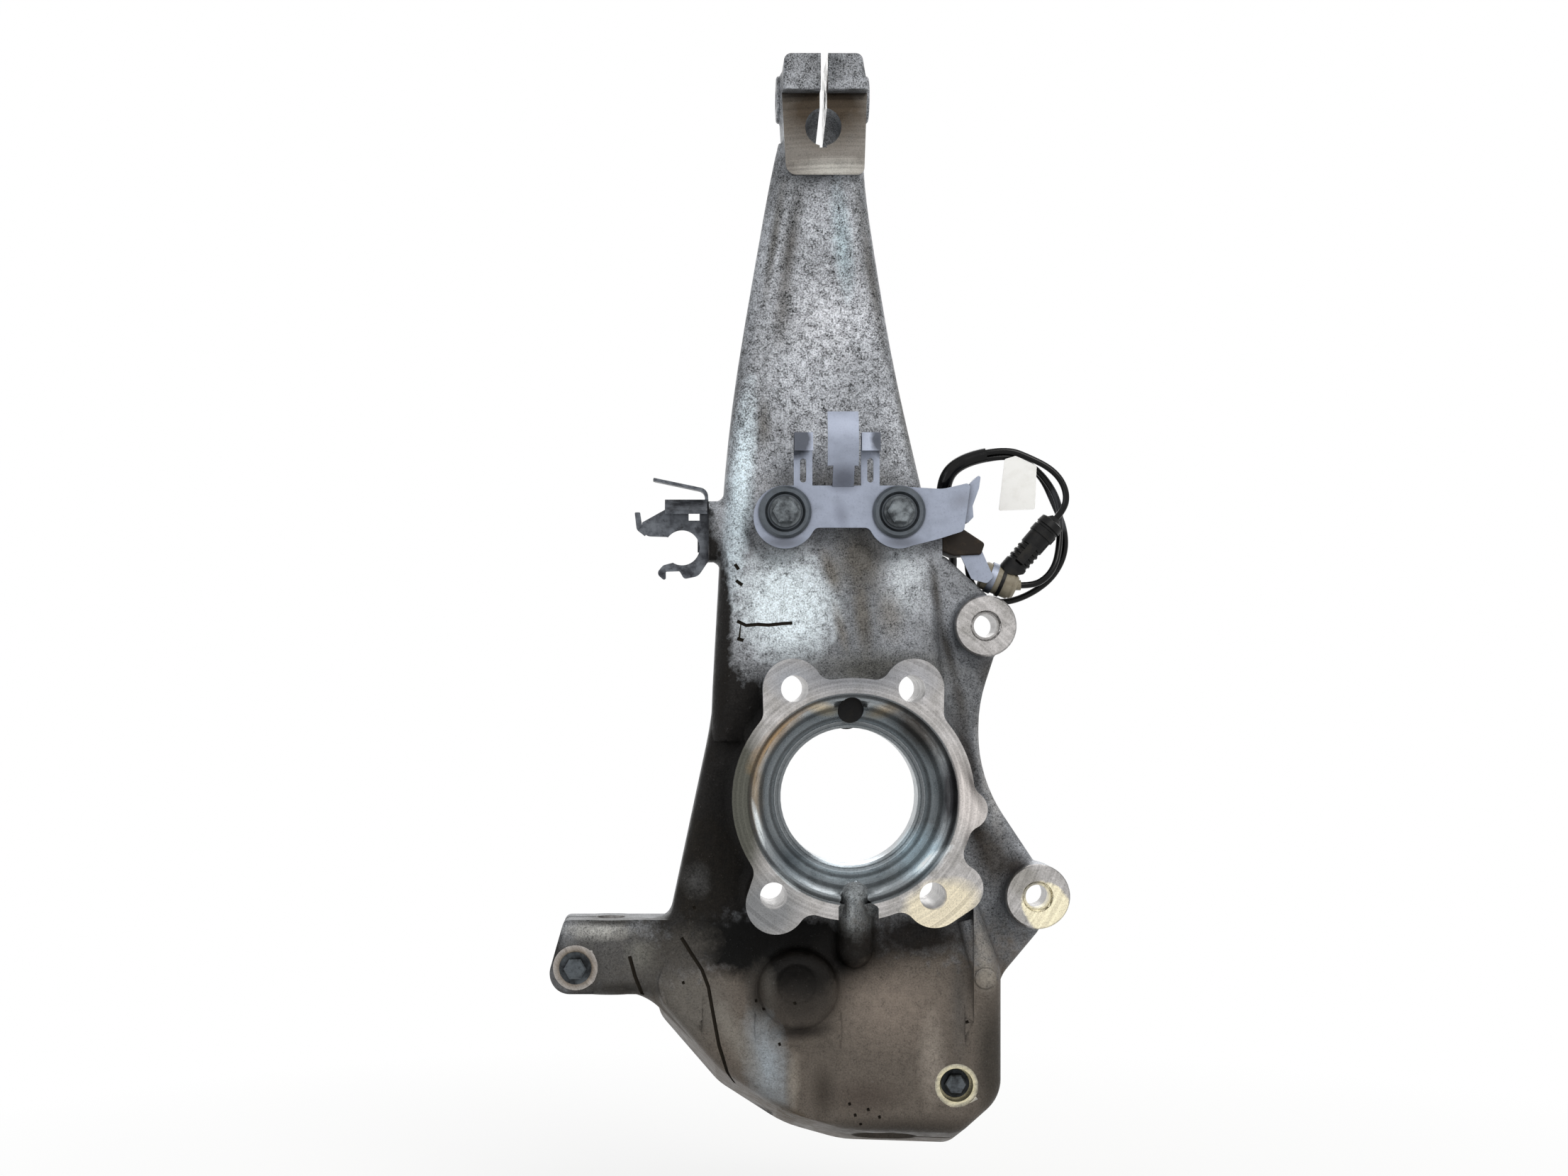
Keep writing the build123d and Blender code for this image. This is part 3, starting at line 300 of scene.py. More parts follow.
def is_machined(centre, normal):
    """Whether a face of the casting, centre in millimetres, was cut by a tool."""
    x, y, z = centre
    faces_out = normal.y < -0.95
    radius = math.hypot(x, z)
    top, end, rib_radius = RIB
    along = min(max((Vector(centre) - top).dot(end - top) / (end - top).length_squared, 0), 1)
    rib = (Vector(centre) - top.lerp(end, along)).length < rib_radius + 0.3
    if y < 0.2 and faces_out:
        return True
    if radius < 56.3 and y < 54.2 and not rib and abs(normal.z * x - normal.x * z) < 0.2 * radius:
        return True
    if faces_out and 53.8 < y < 54.2 and 341 < z < 388:
        return True
    for bx, bz in HUB_BOLTS:
        if math.hypot(x - bx, z - bz) < 7.5:
            return True
    for ex, ez, r in EARS:
        off = math.hypot(x - ex, z - ez)
        if off < 8.6 or (off < r + 0.5 and y < 21.2):
            return True
    for (bx, bz), depth in ((LOWER_BOLT, 29), (TIE_BOLT, 27.4)):
        if math.hypot(x - bx, z - bz) < 12.4 and y < depth and (faces_out or abs(normal.y) < 0.2):
            return True
    offset = Vector(centre) - LOWER_BORE
    off_axis = (offset - offset.dot(LEAN) * LEAN).length
    if (off_axis < 14.3 and abs(normal.dot(LEAN)) < 0.2) or (off_axis < 18.3 and normal.dot(LEAN) > 0.95):
        return True
    if math.hypot(x - TIE_BORE[0], y - TIE_BORE[1]) < 8.2:
        return True
    if x < -75.8 and 127 < z < 162 and 37 < y < 61:
        return True
    return abs(x - HEAD_X) < 2.1 and z > 356


# Stains, tones, painted shade, painted shadows and painted highlights: centre and reach in mm, lean to the
# left in degrees, colour, strength, edge softness
CAST_PATCHES = [
    # painted highlight: bluish-white shine down the neck's left rail
    ((-59, 40, 165), (9, 60, 70), -5, "#bccad1", 0.75, 0.7),
    ((-8, 60, 262), (34, 60, 34), 0, "#b9bbc0", 0.6, 0.8),
    # painted highlight: a cool tinted shine at the neck's upper right
    ((-2, 62, 305), (7, 60, 40), 5, "#8fa0a6", 0.6, 0.8),
    # painted shade: soft dark band down the left edge of the neck's channel (this and the next line)
    ((-31, 65, 302), (5.5, 60, 36), -10, "#45413d", 0.75, 0.8),
    ((-35, 62, 268), (6, 60, 26), -8, "#504c48", 0.6, 0.8),
    ((-46, 50, 203), (5, 60, 16), 0, "#605d58", 0.6, 0.8),
    # painted shade: dark bands down the neck's right edges and beyond its left rail (this and the next two
    # lines)
    ((14, 60, 285), (5, 60, 60), 9, "#4e4c49", 0.75, 0.8),
    ((32, 60, 205), (5, 60, 50), 9, "#56544f", 0.7, 0.8),
    ((-40, 60, 305), (3.5, 60, 45), -9, "#4a4844", 0.75, 0.8),
    ((-12, 40, 170), (45, 60, 14), 0, "#77746f", 0.5, 0.8),
    # painted highlight: bluish-white left part of the panel above the hub
    ((-34, 25, 104), (34, 60, 36), 0, "#c6d0d5", 0.8, 0.6),
    ((30, 25, 120), (16, 60, 26), 0, "#bcc2c6", 0.6, 0.8),
    ((-10, 32, 122), (6, 60, 16), 20, "#5d564c", 0.75, 0.7),
    ((-5, 30, 92), (4, 60, 18), 14, "#6a645b", 0.55, 0.8),
    ((6, 32, 130), (17, 60, 24), 8, "#514c44", 0.8, 0.7),
    ((7, 32, 98), (6, 60, 28), 6, "#5c574f", 0.7, 0.7),
    ((22, 30, 98), (9, 60, 18), 8, "#6a645b", 0.5, 0.8),
    # painted shade: dark band where the panel curves down to the flange, then dark soft lines in the valley
    # right of the panel (this and the next three lines)
    ((18, 25, 68), (50, 60, 13), 0, "#55544f", 0.8, 0.7),
    ((47, 30, 110), (3.6, 60, 22), 8, "#45423f", 0.85, 0.8),
    ((53, 30, 80), (3.8, 60, 20), 16, "#45423f", 0.85, 0.8),
    ((60, 30, 52), (4.5, 60, 20), 12, "#4a4744", 0.7, 0.8),
    # painted shade: near-black hollows right of the flange and towards the lower ear (this and the next
    # three lines)
    ((64, 25, 22), (7, 40, 32), 18, "#2b2623", 0.85, 0.7),
    ((68, 25, -16), (8, 40, 26), 20, "#1d1916", 0.95, 0.7),
    ((78, 30, -33), (14, 60, 26), 20, "#3d3833", 0.85, 0.7),
    ((90, 25, -38), (10, 40, 10), 0, "#2f2924", 0.85, 0.7),
    ((76, 25, 66), (9, 40, 12), 0, "#4b4744", 0.7, 0.7),
    ((76, 25, 12), (6, 40, 40), 10, "#a5a29e", 0.6, 0.9),
    ((2.4, 14, -66), (13, 40, 30), 0, "#7d8183", 1.0, 0.12),
    # painted highlight: a bright strip down the rib's left side
    ((-0.5, 8, -66), (2.6, 30, 20), 0, "#b4babd", 0.8, 0.7),
    ((0, 40, -160), (210, 300, 106), 0, "#5f5851", 1.0, 0.3),
    ((-125, 30, -88), (52, 60, 28), 0, "#4a4845", 0.9, 0.5),
    # painted light: the steering arm's top lit bright
    ((-136, 25, -72), (22, 60, 7), 0, "#aaa9a4", 0.75, 0.8),
    # painted shade: dark lines along the arm's lower and upper edges and at its end (this and the next two
    # lines)
    ((-125, 25, -104), (34, 60, 6), 0, "#2b2926", 0.85, 0.8),
    ((-130, 25, -67.5), (34, 60, 3), 0, "#33312e", 0.85, 0.8),
    ((-158, 30, -86), (5, 60, 18), 0, "#2e2c2a", 0.85, 0.8),
    ((-112, 25, -86), (12, 60, 10), -20, "#77766f", 0.6, 0.8),
    ((-85, 25, -112), (26, 60, 26), 35, "#5b5853", 0.8, 0.6),
    # painted shade with black grime: the left flank beside the hub (this and the next two lines)
    ((-84, 22, 90), (21.5, 38, 85), 0, "#100d0a", 0.98, 0.14),
    ((-70, 20, 0), (60, 40, 75), 0, "#100d0a", 0.98, 0.14),
    ((-84, 22, -45), (30, 38, 44), -20, "#191612", 0.95, 0.3),
    # painted shade in the valley under the flange's lower left
    ((-66, 25, -78), (30, 60, 14), 0, "#0f0d0b", 0.9, 0.6),
    ((-83, 20, -45), (10, 60, 12), 10, "#4a4a4a", 0.7, 0.9),
    # painted shadow under the flange's overhang with black grime, reaching down over the lump's top (this
    # and the next line)
    ((-40, 25, -80), (66, 60, 21), 0, "#030302", 1.0, 0.4),
    ((-28, 15, -94), (36, 60, 28), 0, "#0d0b09", 0.97, 0.6),
    # painted shadow of the flange's overhang round the rib's foot
    ((4, 25, -86), (30, 60, 20), 0, "#14110e", 0.9, 0.7),
    ((-92, 25, -84), (26, 60, 16), 20, "#45423e", 0.85, 0.6),
    # painted shadow under the flange, right of the rib
    ((36, 25, -75), (34, 60, 15), 0, "#1a1613", 0.95, 0.6),
    ((-48, 15, -106), (10, 60, 22), 0, "#5a5752", 0.8, 0.8),
    # painted shade with grime: the lump's dark dimple and lower half (this and the next line)
    ((-28, 15, -98), (13, 60, 9), 0, "#0b0907", 1.0, 0.5),
    ((-28, 15, -112), (30, 60, 18), 0, "#2e2a26", 0.8, 0.8),
    # painted shadow under the lump's lower edge
    ((-28, 18, -125), (24, 60, 6), 5, "#1c1815", 0.85, 0.8),
    ((22, 15, -112), (36, 60, 30), 0, "#786e65", 0.8, 0.8),
    # painted shade: a dark strip along the lower body's right edge
    ((58, 20, -112), (6, 60, 36), 0, "#4c4a48", 0.6, 0.9),
    ((71, 15, -84), (7, 60, 26), 8, "#86827c", 0.7, 0.8),
    ((76, 25, -140), (12, 60, 40), 0, "#3c3833", 0.95, 0.6),
    ((43, 15, -140), (9, 60, 30), 0, "#8b837a", 0.7, 0.8),
    ((-45, 15, -143), (15, 60, 36), 12, "#8e969c", 0.9, 0.95),
    ((-50, 15, -104), (7, 40, 18), 0, "#36312c", 0.9, 0.7),
    ((-62, 15, -128), (8, 60, 30), 30, "#77736c", 0.7, 0.8),
    ((-31, 15, -152), (5, 60, 20), 0, "#8c857b", 0.7, 0.8),
    ((-15, 17, -158), (8, 60, 18), 0, "#3b352f", 0.8, 0.8),
    ((30, 20, -182), (66, 60, 14), 0, "#37322d", 0.95, 0.7),
    ((8, 15, -160), (26, 60, 12), 0, "#4b433d", 0.8, 0.8),
    ((-34, 30, -174), (26, 60, 9), -28, "#40331f", 0.9, 0.5),
    ((72, 15, -96), (8, 60, 9), 0, "#8b857b", 0.6, 0.8),
]
# Machined faces' stains and tones, with painted shade, painted shadows, painted highlights and glints among
# them; same columns as above
MACHINED_PATCHES = [
    ((-12, 60, 365), (60, 60, 60), 0, "#6f6b66", 1.0, 0.2),
    # painted shade: the inside of the head's bore dark
    ((-12.6, 86, 363), (17, 31, 32), 0, "#0a0908", 1.0, 0.1),
    # painted shade: the flange's left side
    ((-62, 0, -4), (20, 12, 66), 0, "#56564f", 1.0, 0.5),
    ((0, 0, 66), (62, 6, 16), 0, "#7f8186", 0.8, 0.7),
    ((-34, 0, 62), (13, 6, 13), 0, "#9fa2a8", 0.7, 0.7),
    ((34, 0, 62), (12, 6, 13), 0, "#aaaaae", 0.7, 0.7),
    ((-46, 0, -58), (24, 8, 22), 0, "#76787a", 0.85, 0.6),
    # painted light: the flange's right side bright
    ((60, 0, 0), (14, 8, 34), 20, "#d3ccc8", 0.8, 0.7),
    ((63, 0, 8), (4, 8, 20), 24, "#2c2824", 0.7, 0.9),
    ((61, 0, -24), (4, 8, 10), 0, "#2c2824", 0.75, 0.9),
    # painted highlight: warm bright light on the flange's lower right lobe
    ((46, 0, -58), (24, 8, 17), 20, "#e6dbc0", 0.9, 0.35),
    # painted highlight: warm gold tint on the register's upper left wall (this and the next three lines)
    ((-40, 8, 32), (8, 16, 30), -44, "#a48356", 0.8, 0.8),
    ((-14, 12, 47), (14, 20, 5), -16, "#c9b48c", 0.7, 0.8),
    ((16, 14, 46), (14, 20, 5), 16, "#a08a66", 0.7, 0.8),
    ((-51, 12, 6), (6, 20, 34), 0, "#8a7352", 0.7, 0.8),
    # painted shade: the register's upper right wall near its outer edge (this and the next line)
    ((34, 12, 34), (12, 20, 26), 40, "#3b3631", 0.95, 0.6),
    ((53, 14, 4), (6, 20, 32), 0, "#2e2e31", 1.0, 0.6),
    # painted highlight: blue-white light on the register's lower right wall, then three painted glints
    # (this and the next three lines)
    ((36, 20, -30), (16, 30, 18), -40, "#b5c8d2", 0.95, 0.6),
    ((43, 8, -32), (2.6, 30, 14), -50, "#ecf6fb", 0.9, 0.6),
    ((-50, 10, -14), (2, 30, 16), 14, "#dfe6e8", 0.8, 0.6),
    ((-36, 10, -42), (2, 30, 12), 48, "#e4ecef", 0.8, 0.6),
    ((-30, 20, -36), (26, 20, 16), 40, "#5f686e", 0.85, 0.7),
    # painted light: the register's lower wall brighter
    ((0, 30, -40), (40, 40, 11), 0, "#aeb8be", 0.9, 0.7),
    ((-148.3, 27, -92.4), (14, 9, 14), 0, "#85796a", 0.9, 0.4),
    ((56.3, 18, -153.9), (14, 20, 14), 0, "#d6cda6", 0.9, 0.4),
    # painted highlight: bright warm light on the lower ear's face
    ((106, 20, -60), (13, 12, 17), 40, "#f4ebcc", 0.95, 0.12),
    ((93, 20, -45), (10, 12, 12), 40, "#8d8a84", 0.7, 0.4),
    # painted shadow: the head's machined face dark under the ears' overhang
    ((-12, 54, 380), (36, 14, 26), 0, "#3a3229", 1.0, 0.6),
    # painted light: the head's machined face lighter at its bottom
    ((-6, 54, 345), (26, 10, 8), 0, "#a5a39d", 0.8, 0.8),
]


def blotches(material, place, grain, colour, patches):
    """Lays soft-edged spots of colour over a colour; grain (node, output) frays their edges."""
    fray = add_node(material, "ShaderNodeMath", {"operation": "MULTIPLY_ADD", 1: 0.5, 2: -0.25}, {0: grain})
    for centre, reach, tilt, shade, strength, soft in patches:
        local = add_node(material, "ShaderNodeMapping", {
            "vector_type": "TEXTURE", "Location": mm(*centre), "Scale": mm(*reach),
            "Rotation": (0, math.radians(-tilt), 0)}, {"Vector": (place, "Object")})
        ball = add_node(material, "ShaderNodeTexGradient", {"gradient_type": "SPHERICAL"},
                        {"Vector": (local, "Vector")})
        frayed = add_node(material, "ShaderNodeMath", {"operation": "ADD"},
                          {0: (ball, "Fac"), 1: (fray, "Value")})
        mask = add_node(material, "ShaderNodeMapRange", {
            "From Min": 0.0, "From Max": soft, "To Min": 0.0, "To Max": strength},
            {"Value": (frayed, "Value")})
        inside = add_node(material, "ShaderNodeMath", {"operation": "GREATER_THAN", 1: 0.0},
                          {0: (ball, "Fac")})
        kept = add_node(material, "ShaderNodeMath", {"operation": "MULTIPLY"},
                        {0: (mask, "Result"), 1: (inside, "Value")})
        colour = add_node(material, "ShaderNodeMix", {"data_type": "RGBA", 7: linear(shade)},
                          {0: (kept, "Value"), 6: (colour, 2)})
    return colour


def noise(material, place, size_mm, detail, roughness):
    """A noise texture whose features are about size_mm wide."""
    return add_node(material, "ShaderNodeTexNoise",
                    {"Scale": 1000 / size_mm, "Detail": detail, "Roughness": roughness},
                    {"Vector": (place, "Object")})


def spread(material, value, low, high, to_low, to_high):
    """Maps low..high of (node, output) to to_low..to_high."""
    return add_node(material, "ShaderNodeMapRange", {
        "From Min": low, "From Max": high, "To Min": to_low, "To Max": to_high}, {"Value": value})


def bumpy(material, shader, height, strength, distance_mm):
    """Gives a shader fine relief from a height (node, output)."""
    bump = add_node(material, "ShaderNodeBump", {"Strength": strength, "Distance": distance_mm * MM},
                    {"Height": height})
    link(material, bump, "Normal", shader, "Normal")


def painted_corner_shade(material, colour, darkest=0.3, reach_mm=14.0):
    """Darkens (node, output) in inner corners by ambient occlusion: painted shade."""
    corner = add_node(material, "ShaderNodeAmbientOcclusion", {"samples": 6, "Distance": reach_mm * MM})
    corner_shade_factor = spread(material, (corner, "AO"), 0.35, 0.95, darkest, 1.0)
    return add_node(material, "ShaderNodeVectorMath", {"operation": "SCALE"},
                    {0: colour, "Scale": (corner_shade_factor, "Result")})


def cast_aluminium(colours):
    """A356 aluminium, sand-like cast skin: salt-and-pepper grain, dull metal, black road grime, with
    painted shade, shadows and highlights laid on in patches and painted shade in its inner corners.
    """
    material, shader = new_material("cast_aluminium_skin")
    place = add_node(material, "ShaderNodeTexCoord")
    grit = noise(material, place, 0.9, 4.0, 0.8)
    cloud = noise(material, place, 5.0, 6.0, 0.6)
    wide = noise(material, place, 55.0, 3.0, 0.5)
    tone = add_node(material, "ShaderNodeMix", {
        "data_type": "RGBA", 6: colours.cast_dark, 7: colours.cast_light},
        {0: (spread(material, (wide, "Fac"), 0.35, 0.65, 0.0, 1.0), "Result")})
    # stains and tones, with painted shade, painted shadows and painted highlights among them
    colour = blotches(material, place, (cloud, "Fac"), tone, CAST_PATCHES)
    # grain: lighter and darker grains of about a millimetre, in drifts
    both = add_node(material, "ShaderNodeMath", {"operation": "MULTIPLY_ADD", 1: 0.4},
                    {0: (cloud, "Fac"), 2: (grit, "Fac")})
    # the lower body is smoother than the arm and the panel above it
    where = add_node(material, "ShaderNodeSeparateXYZ", links={"Vector": (place, "Object")})
    low = spread(material, (where, "Z"), -0.105, -0.06, 0.25, 0.6)
    high = spread(material, (where, "Z"), 0.15, 0.21, 0.0, 0.4)
    calm = add_node(material, "ShaderNodeMath", {"operation": "ADD"},
                    {0: (low, "Result"), 1: (high, "Result")})
    contrast = spread(material, (both, "Value"), 0.57, 0.83, -0.88, 0.8)
    grain = add_node(material, "ShaderNodeMath", {"operation": "MULTIPLY_ADD", 2: 1.0},
                     {0: (contrast, "Result"), 1: (calm, "Value")})
    grained = add_node(material, "ShaderNodeVectorMath", {"operation": "SCALE"},
                       {0: (colour, 2), "Scale": (grain, "Value")})
    # pits: small black holes in the skin, thicker where the clouds are low
    pits = spread(material, (both, "Value"), 0.6, 0.55, 0.0, 0.9)
    pitting = add_node(material, "ShaderNodeMath", {"operation": "MULTIPLY"},
                       {0: (pits, "Result"), 1: (calm, "Value")})
    pitted = add_node(material, "ShaderNodeMix", {"data_type": "RGBA", 7: colours.grime},
                      {0: (pitting, "Value"), 6: (grained, "Vector")})
    # salt: bare metal grains that shine through the grime
    salt = spread(material, (both, "Value"), 0.86, 0.93, 0.0, 0.5)
    salted = add_node(material, "ShaderNodeMix", {"data_type": "RGBA", 7: colours.cast_dark},
                      {0: (salt, "Result"), 6: (pitted, 2)})
    # painted shade: the skin darkens in its inner corners
    corner_shaded = painted_corner_shade(material, (salted, 2))
    link(material, corner_shaded, "Vector", shader, "Base Color")
    bright = add_node(material, "ShaderNodeRGBToBW", links={"Color": (salted, 2)})
    link(material, spread(material, (bright, "Val"), 0.02, 0.35, 0.1, 0.7), "Result", shader, "Metallic")
    link(material, spread(material, (cloud, "Fac"), 0.3, 0.7, 0.34, 0.56), "Result", shader, "Roughness")
    shader.inputs["Specular IOR Level"].default_value = 0.12
    relief = add_node(material, "ShaderNodeMath", {"operation": "MULTIPLY_ADD", 1: 2.0},
                      {0: (cloud, "Fac"), 2: (grit, "Fac")})
    bumpy(material, shader, (relief, "Value"), 0.7, 0.5)
    return material


def packed_grime(colours):
    """Black road grime packed in seams and pits: matt and rough."""
    material, shader = new_material("packed_grime")
    place = add_node(material, "ShaderNodeTexCoord")
    crumbs = noise(material, place, 1.0, 4.0, 0.6)
    colour = add_node(material, "ShaderNodeMix", {
        "data_type": "RGBA", 6: colours.grime, 7: linear("#2e2922")}, {0: (crumbs, "Fac")})
    link(material, colour, 2, shader, "Base Color")
    shader.inputs["Roughness"].default_value = 0.85
    shader.inputs["Specular IOR Level"].default_value = 0.1
    bumpy(material, shader, (crumbs, "Fac"), 0.6, 0.3)
    return material


def machined_aluminium(colours):
    """Turned and milled aluminium: bright, ringed by the tool, stained by oil and dust, with painted
    highlights, warm gold highlights, glints, shade and shadow laid on in patches, and painted shade in its
    inner corners.
    """
    material, shader = new_material("machined_aluminium")
    place = add_node(material, "ShaderNodeTexCoord")
    stain = noise(material, place, 9.0, 6.0, 0.7)
    fine = noise(material, place, 0.9, 3.0, 0.6)
    # tool rings round the hub's axis: noise along the radius only
    flat = add_node(material, "ShaderNodeVectorMath", {"operation": "MULTIPLY", 1: (1, 0, 1)},
                    {0: (place, "Object")})
    radius = add_node(material, "ShaderNodeVectorMath", {"operation": "LENGTH"}, {0: (flat, "Vector")})
    rings = add_node(material, "ShaderNodeTexNoise", {
        "noise_dimensions": "1D", "Scale": 420.0, "Detail": 4.0, "Roughness": 0.75},
        {"W": (radius, "Value")})
    bands = add_node(material, "ShaderNodeTexNoise", {
        "noise_dimensions": "1D", "Scale": 260.0, "Detail": 1.0, "Roughness": 0.5},
        {"W": (radius, "Value")})
    tone = add_node(material, "ShaderNodeMix", {
        "data_type": "RGBA", 6: colours.machined_dark, 7: colours.machined_light},
        {0: (spread(material, (stain, "Fac"), 0.3, 0.6, 0.2, 1.0), "Result")})
    # the bored register is cooler and darker than the faced flange
    inside = spread(material, (radius, "Value"), 0.0565, 0.056, 0.0, 1.0)
    cooler = add_node(material, "ShaderNodeMix", {"data_type": "RGBA", 7: linear("#858a8d")},
                      {0: (inside, "Result"), 6: (tone, 2)})
    # stains and tones, with painted shade, painted shadows, painted highlights and glints among them
    colour = blotches(material, place, (stain, "Fac"), cooler, MACHINED_PATCHES)
    banded = add_node(material, "ShaderNodeMath", {"operation": "MULTIPLY_ADD", 1: 0.9},
                      {0: (rings, "Fac"), 2: (fine, "Fac")})
    factor = spread(material, (banded, "Value"), 0.7, 1.2, 0.7, 1.28)
    deep = add_node(material, "ShaderNodeMath", {"operation": "MULTIPLY"},
                    {0: (spread(material, (bands, "Fac"), 0.38, 0.6, 0.5, 1.45), "Result"),
                     1: (factor, "Result")})
    bored = add_node(material, "ShaderNodeMix", {}, {
        0: (inside, "Result"), 2: (factor, "Result"), 3: (deep, "Value")})
    brushed = add_node(material, "ShaderNodeVectorMath", {"operation": "SCALE"},
                       {0: (colour, 2), "Scale": (bored, 0)})
    specks = spread(material, (fine, "Fac"), 0.63, 0.72, 0.0, 0.75)
    specked = add_node(material, "ShaderNodeMix", {"data_type": "RGBA", 7: colours.grime},
                       {0: (specks, "Result"), 6: (brushed, "Vector")})
    # painted shade: the faces darken in their inner corners
    corner_shaded = painted_corner_shade(material, (specked, 2), 0.5, 8.0)
    link(material, corner_shaded, "Vector", shader, "Base Color")
    shader.inputs["Metallic"].default_value = 0.85
    link(material, spread(material, (stain, "Fac"), 0.3, 0.7, 0.2, 0.42), "Result", shader, "Roughness")
    bumpy(material, shader, (banded, "Value"), 0.35, 0.1)
    return material


def stained_metal(name, light, dark, spot, roughness, metallic=0.9, grain=1.5, spots=0.5, patches=()):
    """Plated or coated steel: a mottled tone with darker specks of grime and corrosion, any patches laid
    over it, and painted shade in its inner corners.
    """
    material, shader = new_material(name)
    place = add_node(material, "ShaderNodeTexCoord")
    fine = noise(material, place, grain, 4.0, 0.7)
    broad = noise(material, place, 7.5, 5.0, 0.65)
    tone = add_node(material, "ShaderNodeMix", {"data_type": "RGBA", 6: linear(dark), 7: light},
                    {0: (spread(material, (broad, "Fac"), 0.36, 0.6, 0.0, 1.0), "Result")})
    colour = blotches(material, place, (broad, "Fac"), tone, patches)
    specks = spread(material, (fine, "Fac"), 0.55, 0.7, 0.0, spots)
    specked = add_node(material, "ShaderNodeMix", {"data_type": "RGBA", 7: linear(spot)},
                       {0: (specks, "Result"), 6: (colour, 2)})
    # painted shade: the steel darkens in its inner corners
    corner_shaded = painted_corner_shade(material, (specked, 2), 0.3, 6.0)
    link(material, corner_shaded, "Vector", shader, "Base Color")
    shader.inputs["Metallic"].default_value = metallic
    gloss = spread(material, (broad, "Fac"), 0.3, 0.7, roughness - 0.1, roughness + 0.15)
    link(material, gloss, "Result", shader, "Roughness")
    bumpy(material, shader, (fine, "Fac"), 0.35, 0.1)
    return material


def moulded(name, colour, dust_hex, roughness, dust=0.4, grain=0.8, patches=()):
    """Moulded plastic or rubber with a fine grain and a little dust."""
    material, shader = new_material(name)
    shader.inputs["Specular IOR Level"].default_value = 0.2
    place = add_node(material, "ShaderNodeTexCoord")
    fine = noise(material, place, grain, 3.0, 0.5)
    broad = noise(material, place, 6.5, 5.0, 0.6)
    mask = spread(material, (broad, "Fac"), 0.5, 0.75, 0.0, dust)
    dusty = add_node(material, "ShaderNodeMix", {"data_type": "RGBA", 6: colour, 7: linear(dust_hex)},
                     {0: (mask, "Result")})
    tone = blotches(material, place, (broad, "Fac"), dusty, patches)
    link(material, tone, 2, shader, "Base Color")
    gloss = spread(material, (broad, "Fac"), 0.3, 0.7, roughness - 0.05, roughness + 0.15)
    link(material, gloss, "Result", shader, "Roughness")
    bumpy(material, shader, (fine, "Fac"), 0.3, 0.08)
    return material


def dress(node, material):
    """A CAD node keeps its shape and gets this material."""
    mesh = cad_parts[node].data
    mesh.materials.clear()
    mesh.materials.append(material)


# ---------------------------------------------------------------- settings
def colour_property(name, note, hex_colour):
    return bpy.props.FloatVectorProperty(name=name, description=note, subtype="COLOR", size=4,
                                         min=0.0, max=1.0, default=linear(hex_colour))


class KnuckleSettings(bpy.types.PropertyGroup):
    """Sizes and colours of the steering knuckle"""
    blend_voxel: bpy.props.FloatProperty(
        name="Blend grid", description="Grid of the cast fillets", default=2.0 * MM, min=1.0 * MM,
        unit="LENGTH")
    blend_steps: bpy.props.IntProperty(
        name="Blend steps", description="Smoothing steps: more give larger cast fillets", default=22, min=1)
    blend_sink: bpy.props.FloatProperty(
        name="Blend sink", description="How far the fillets lie under flat skin", default=0.12 * MM,
        min=0.0, unit="LENGTH")
    seam_width: bpy.props.FloatProperty(
        name="Seam width", description="Width of the seams and pits in the cast skin",
        default=2.0 * MM, min=0.2 * MM, unit="LENGTH")
    cast_light: colour_property("Cast skin", "Cleanest cast aluminium", "#9a9da2")
    cast_dark: colour_property("Cast skin, dull", "Dull cast aluminium", "#6e7073")
    grime: colour_property("Grime", "Road grime in pits and seams", "#0c0a08")
    machined_light: colour_property("Machined face", "Turned or milled aluminium", "#bab7b6")
    machined_dark: colour_property("Machined face, stained", "Turned aluminium with dried oil", "#86847f")
    plated: colour_property("Bracket", "Zinc-plated sheet of the bracket", "#959cac")
    galvanised: colour_property("Side clip", "Galvanised sheet of the side clip", "#666a70")
    coated: colour_property("Bolts", "Zinc-flake coating of the bolts", "#7c8286")
    jacket: colour_property("Leads", "Jacket of the leads", "#070708")
    nylon: colour_property("Socket", "Nylon of the connector's socket", "#8b8474")
    tag: colour_property("Tag", "Film of the blank tag", "#f1f1ef")


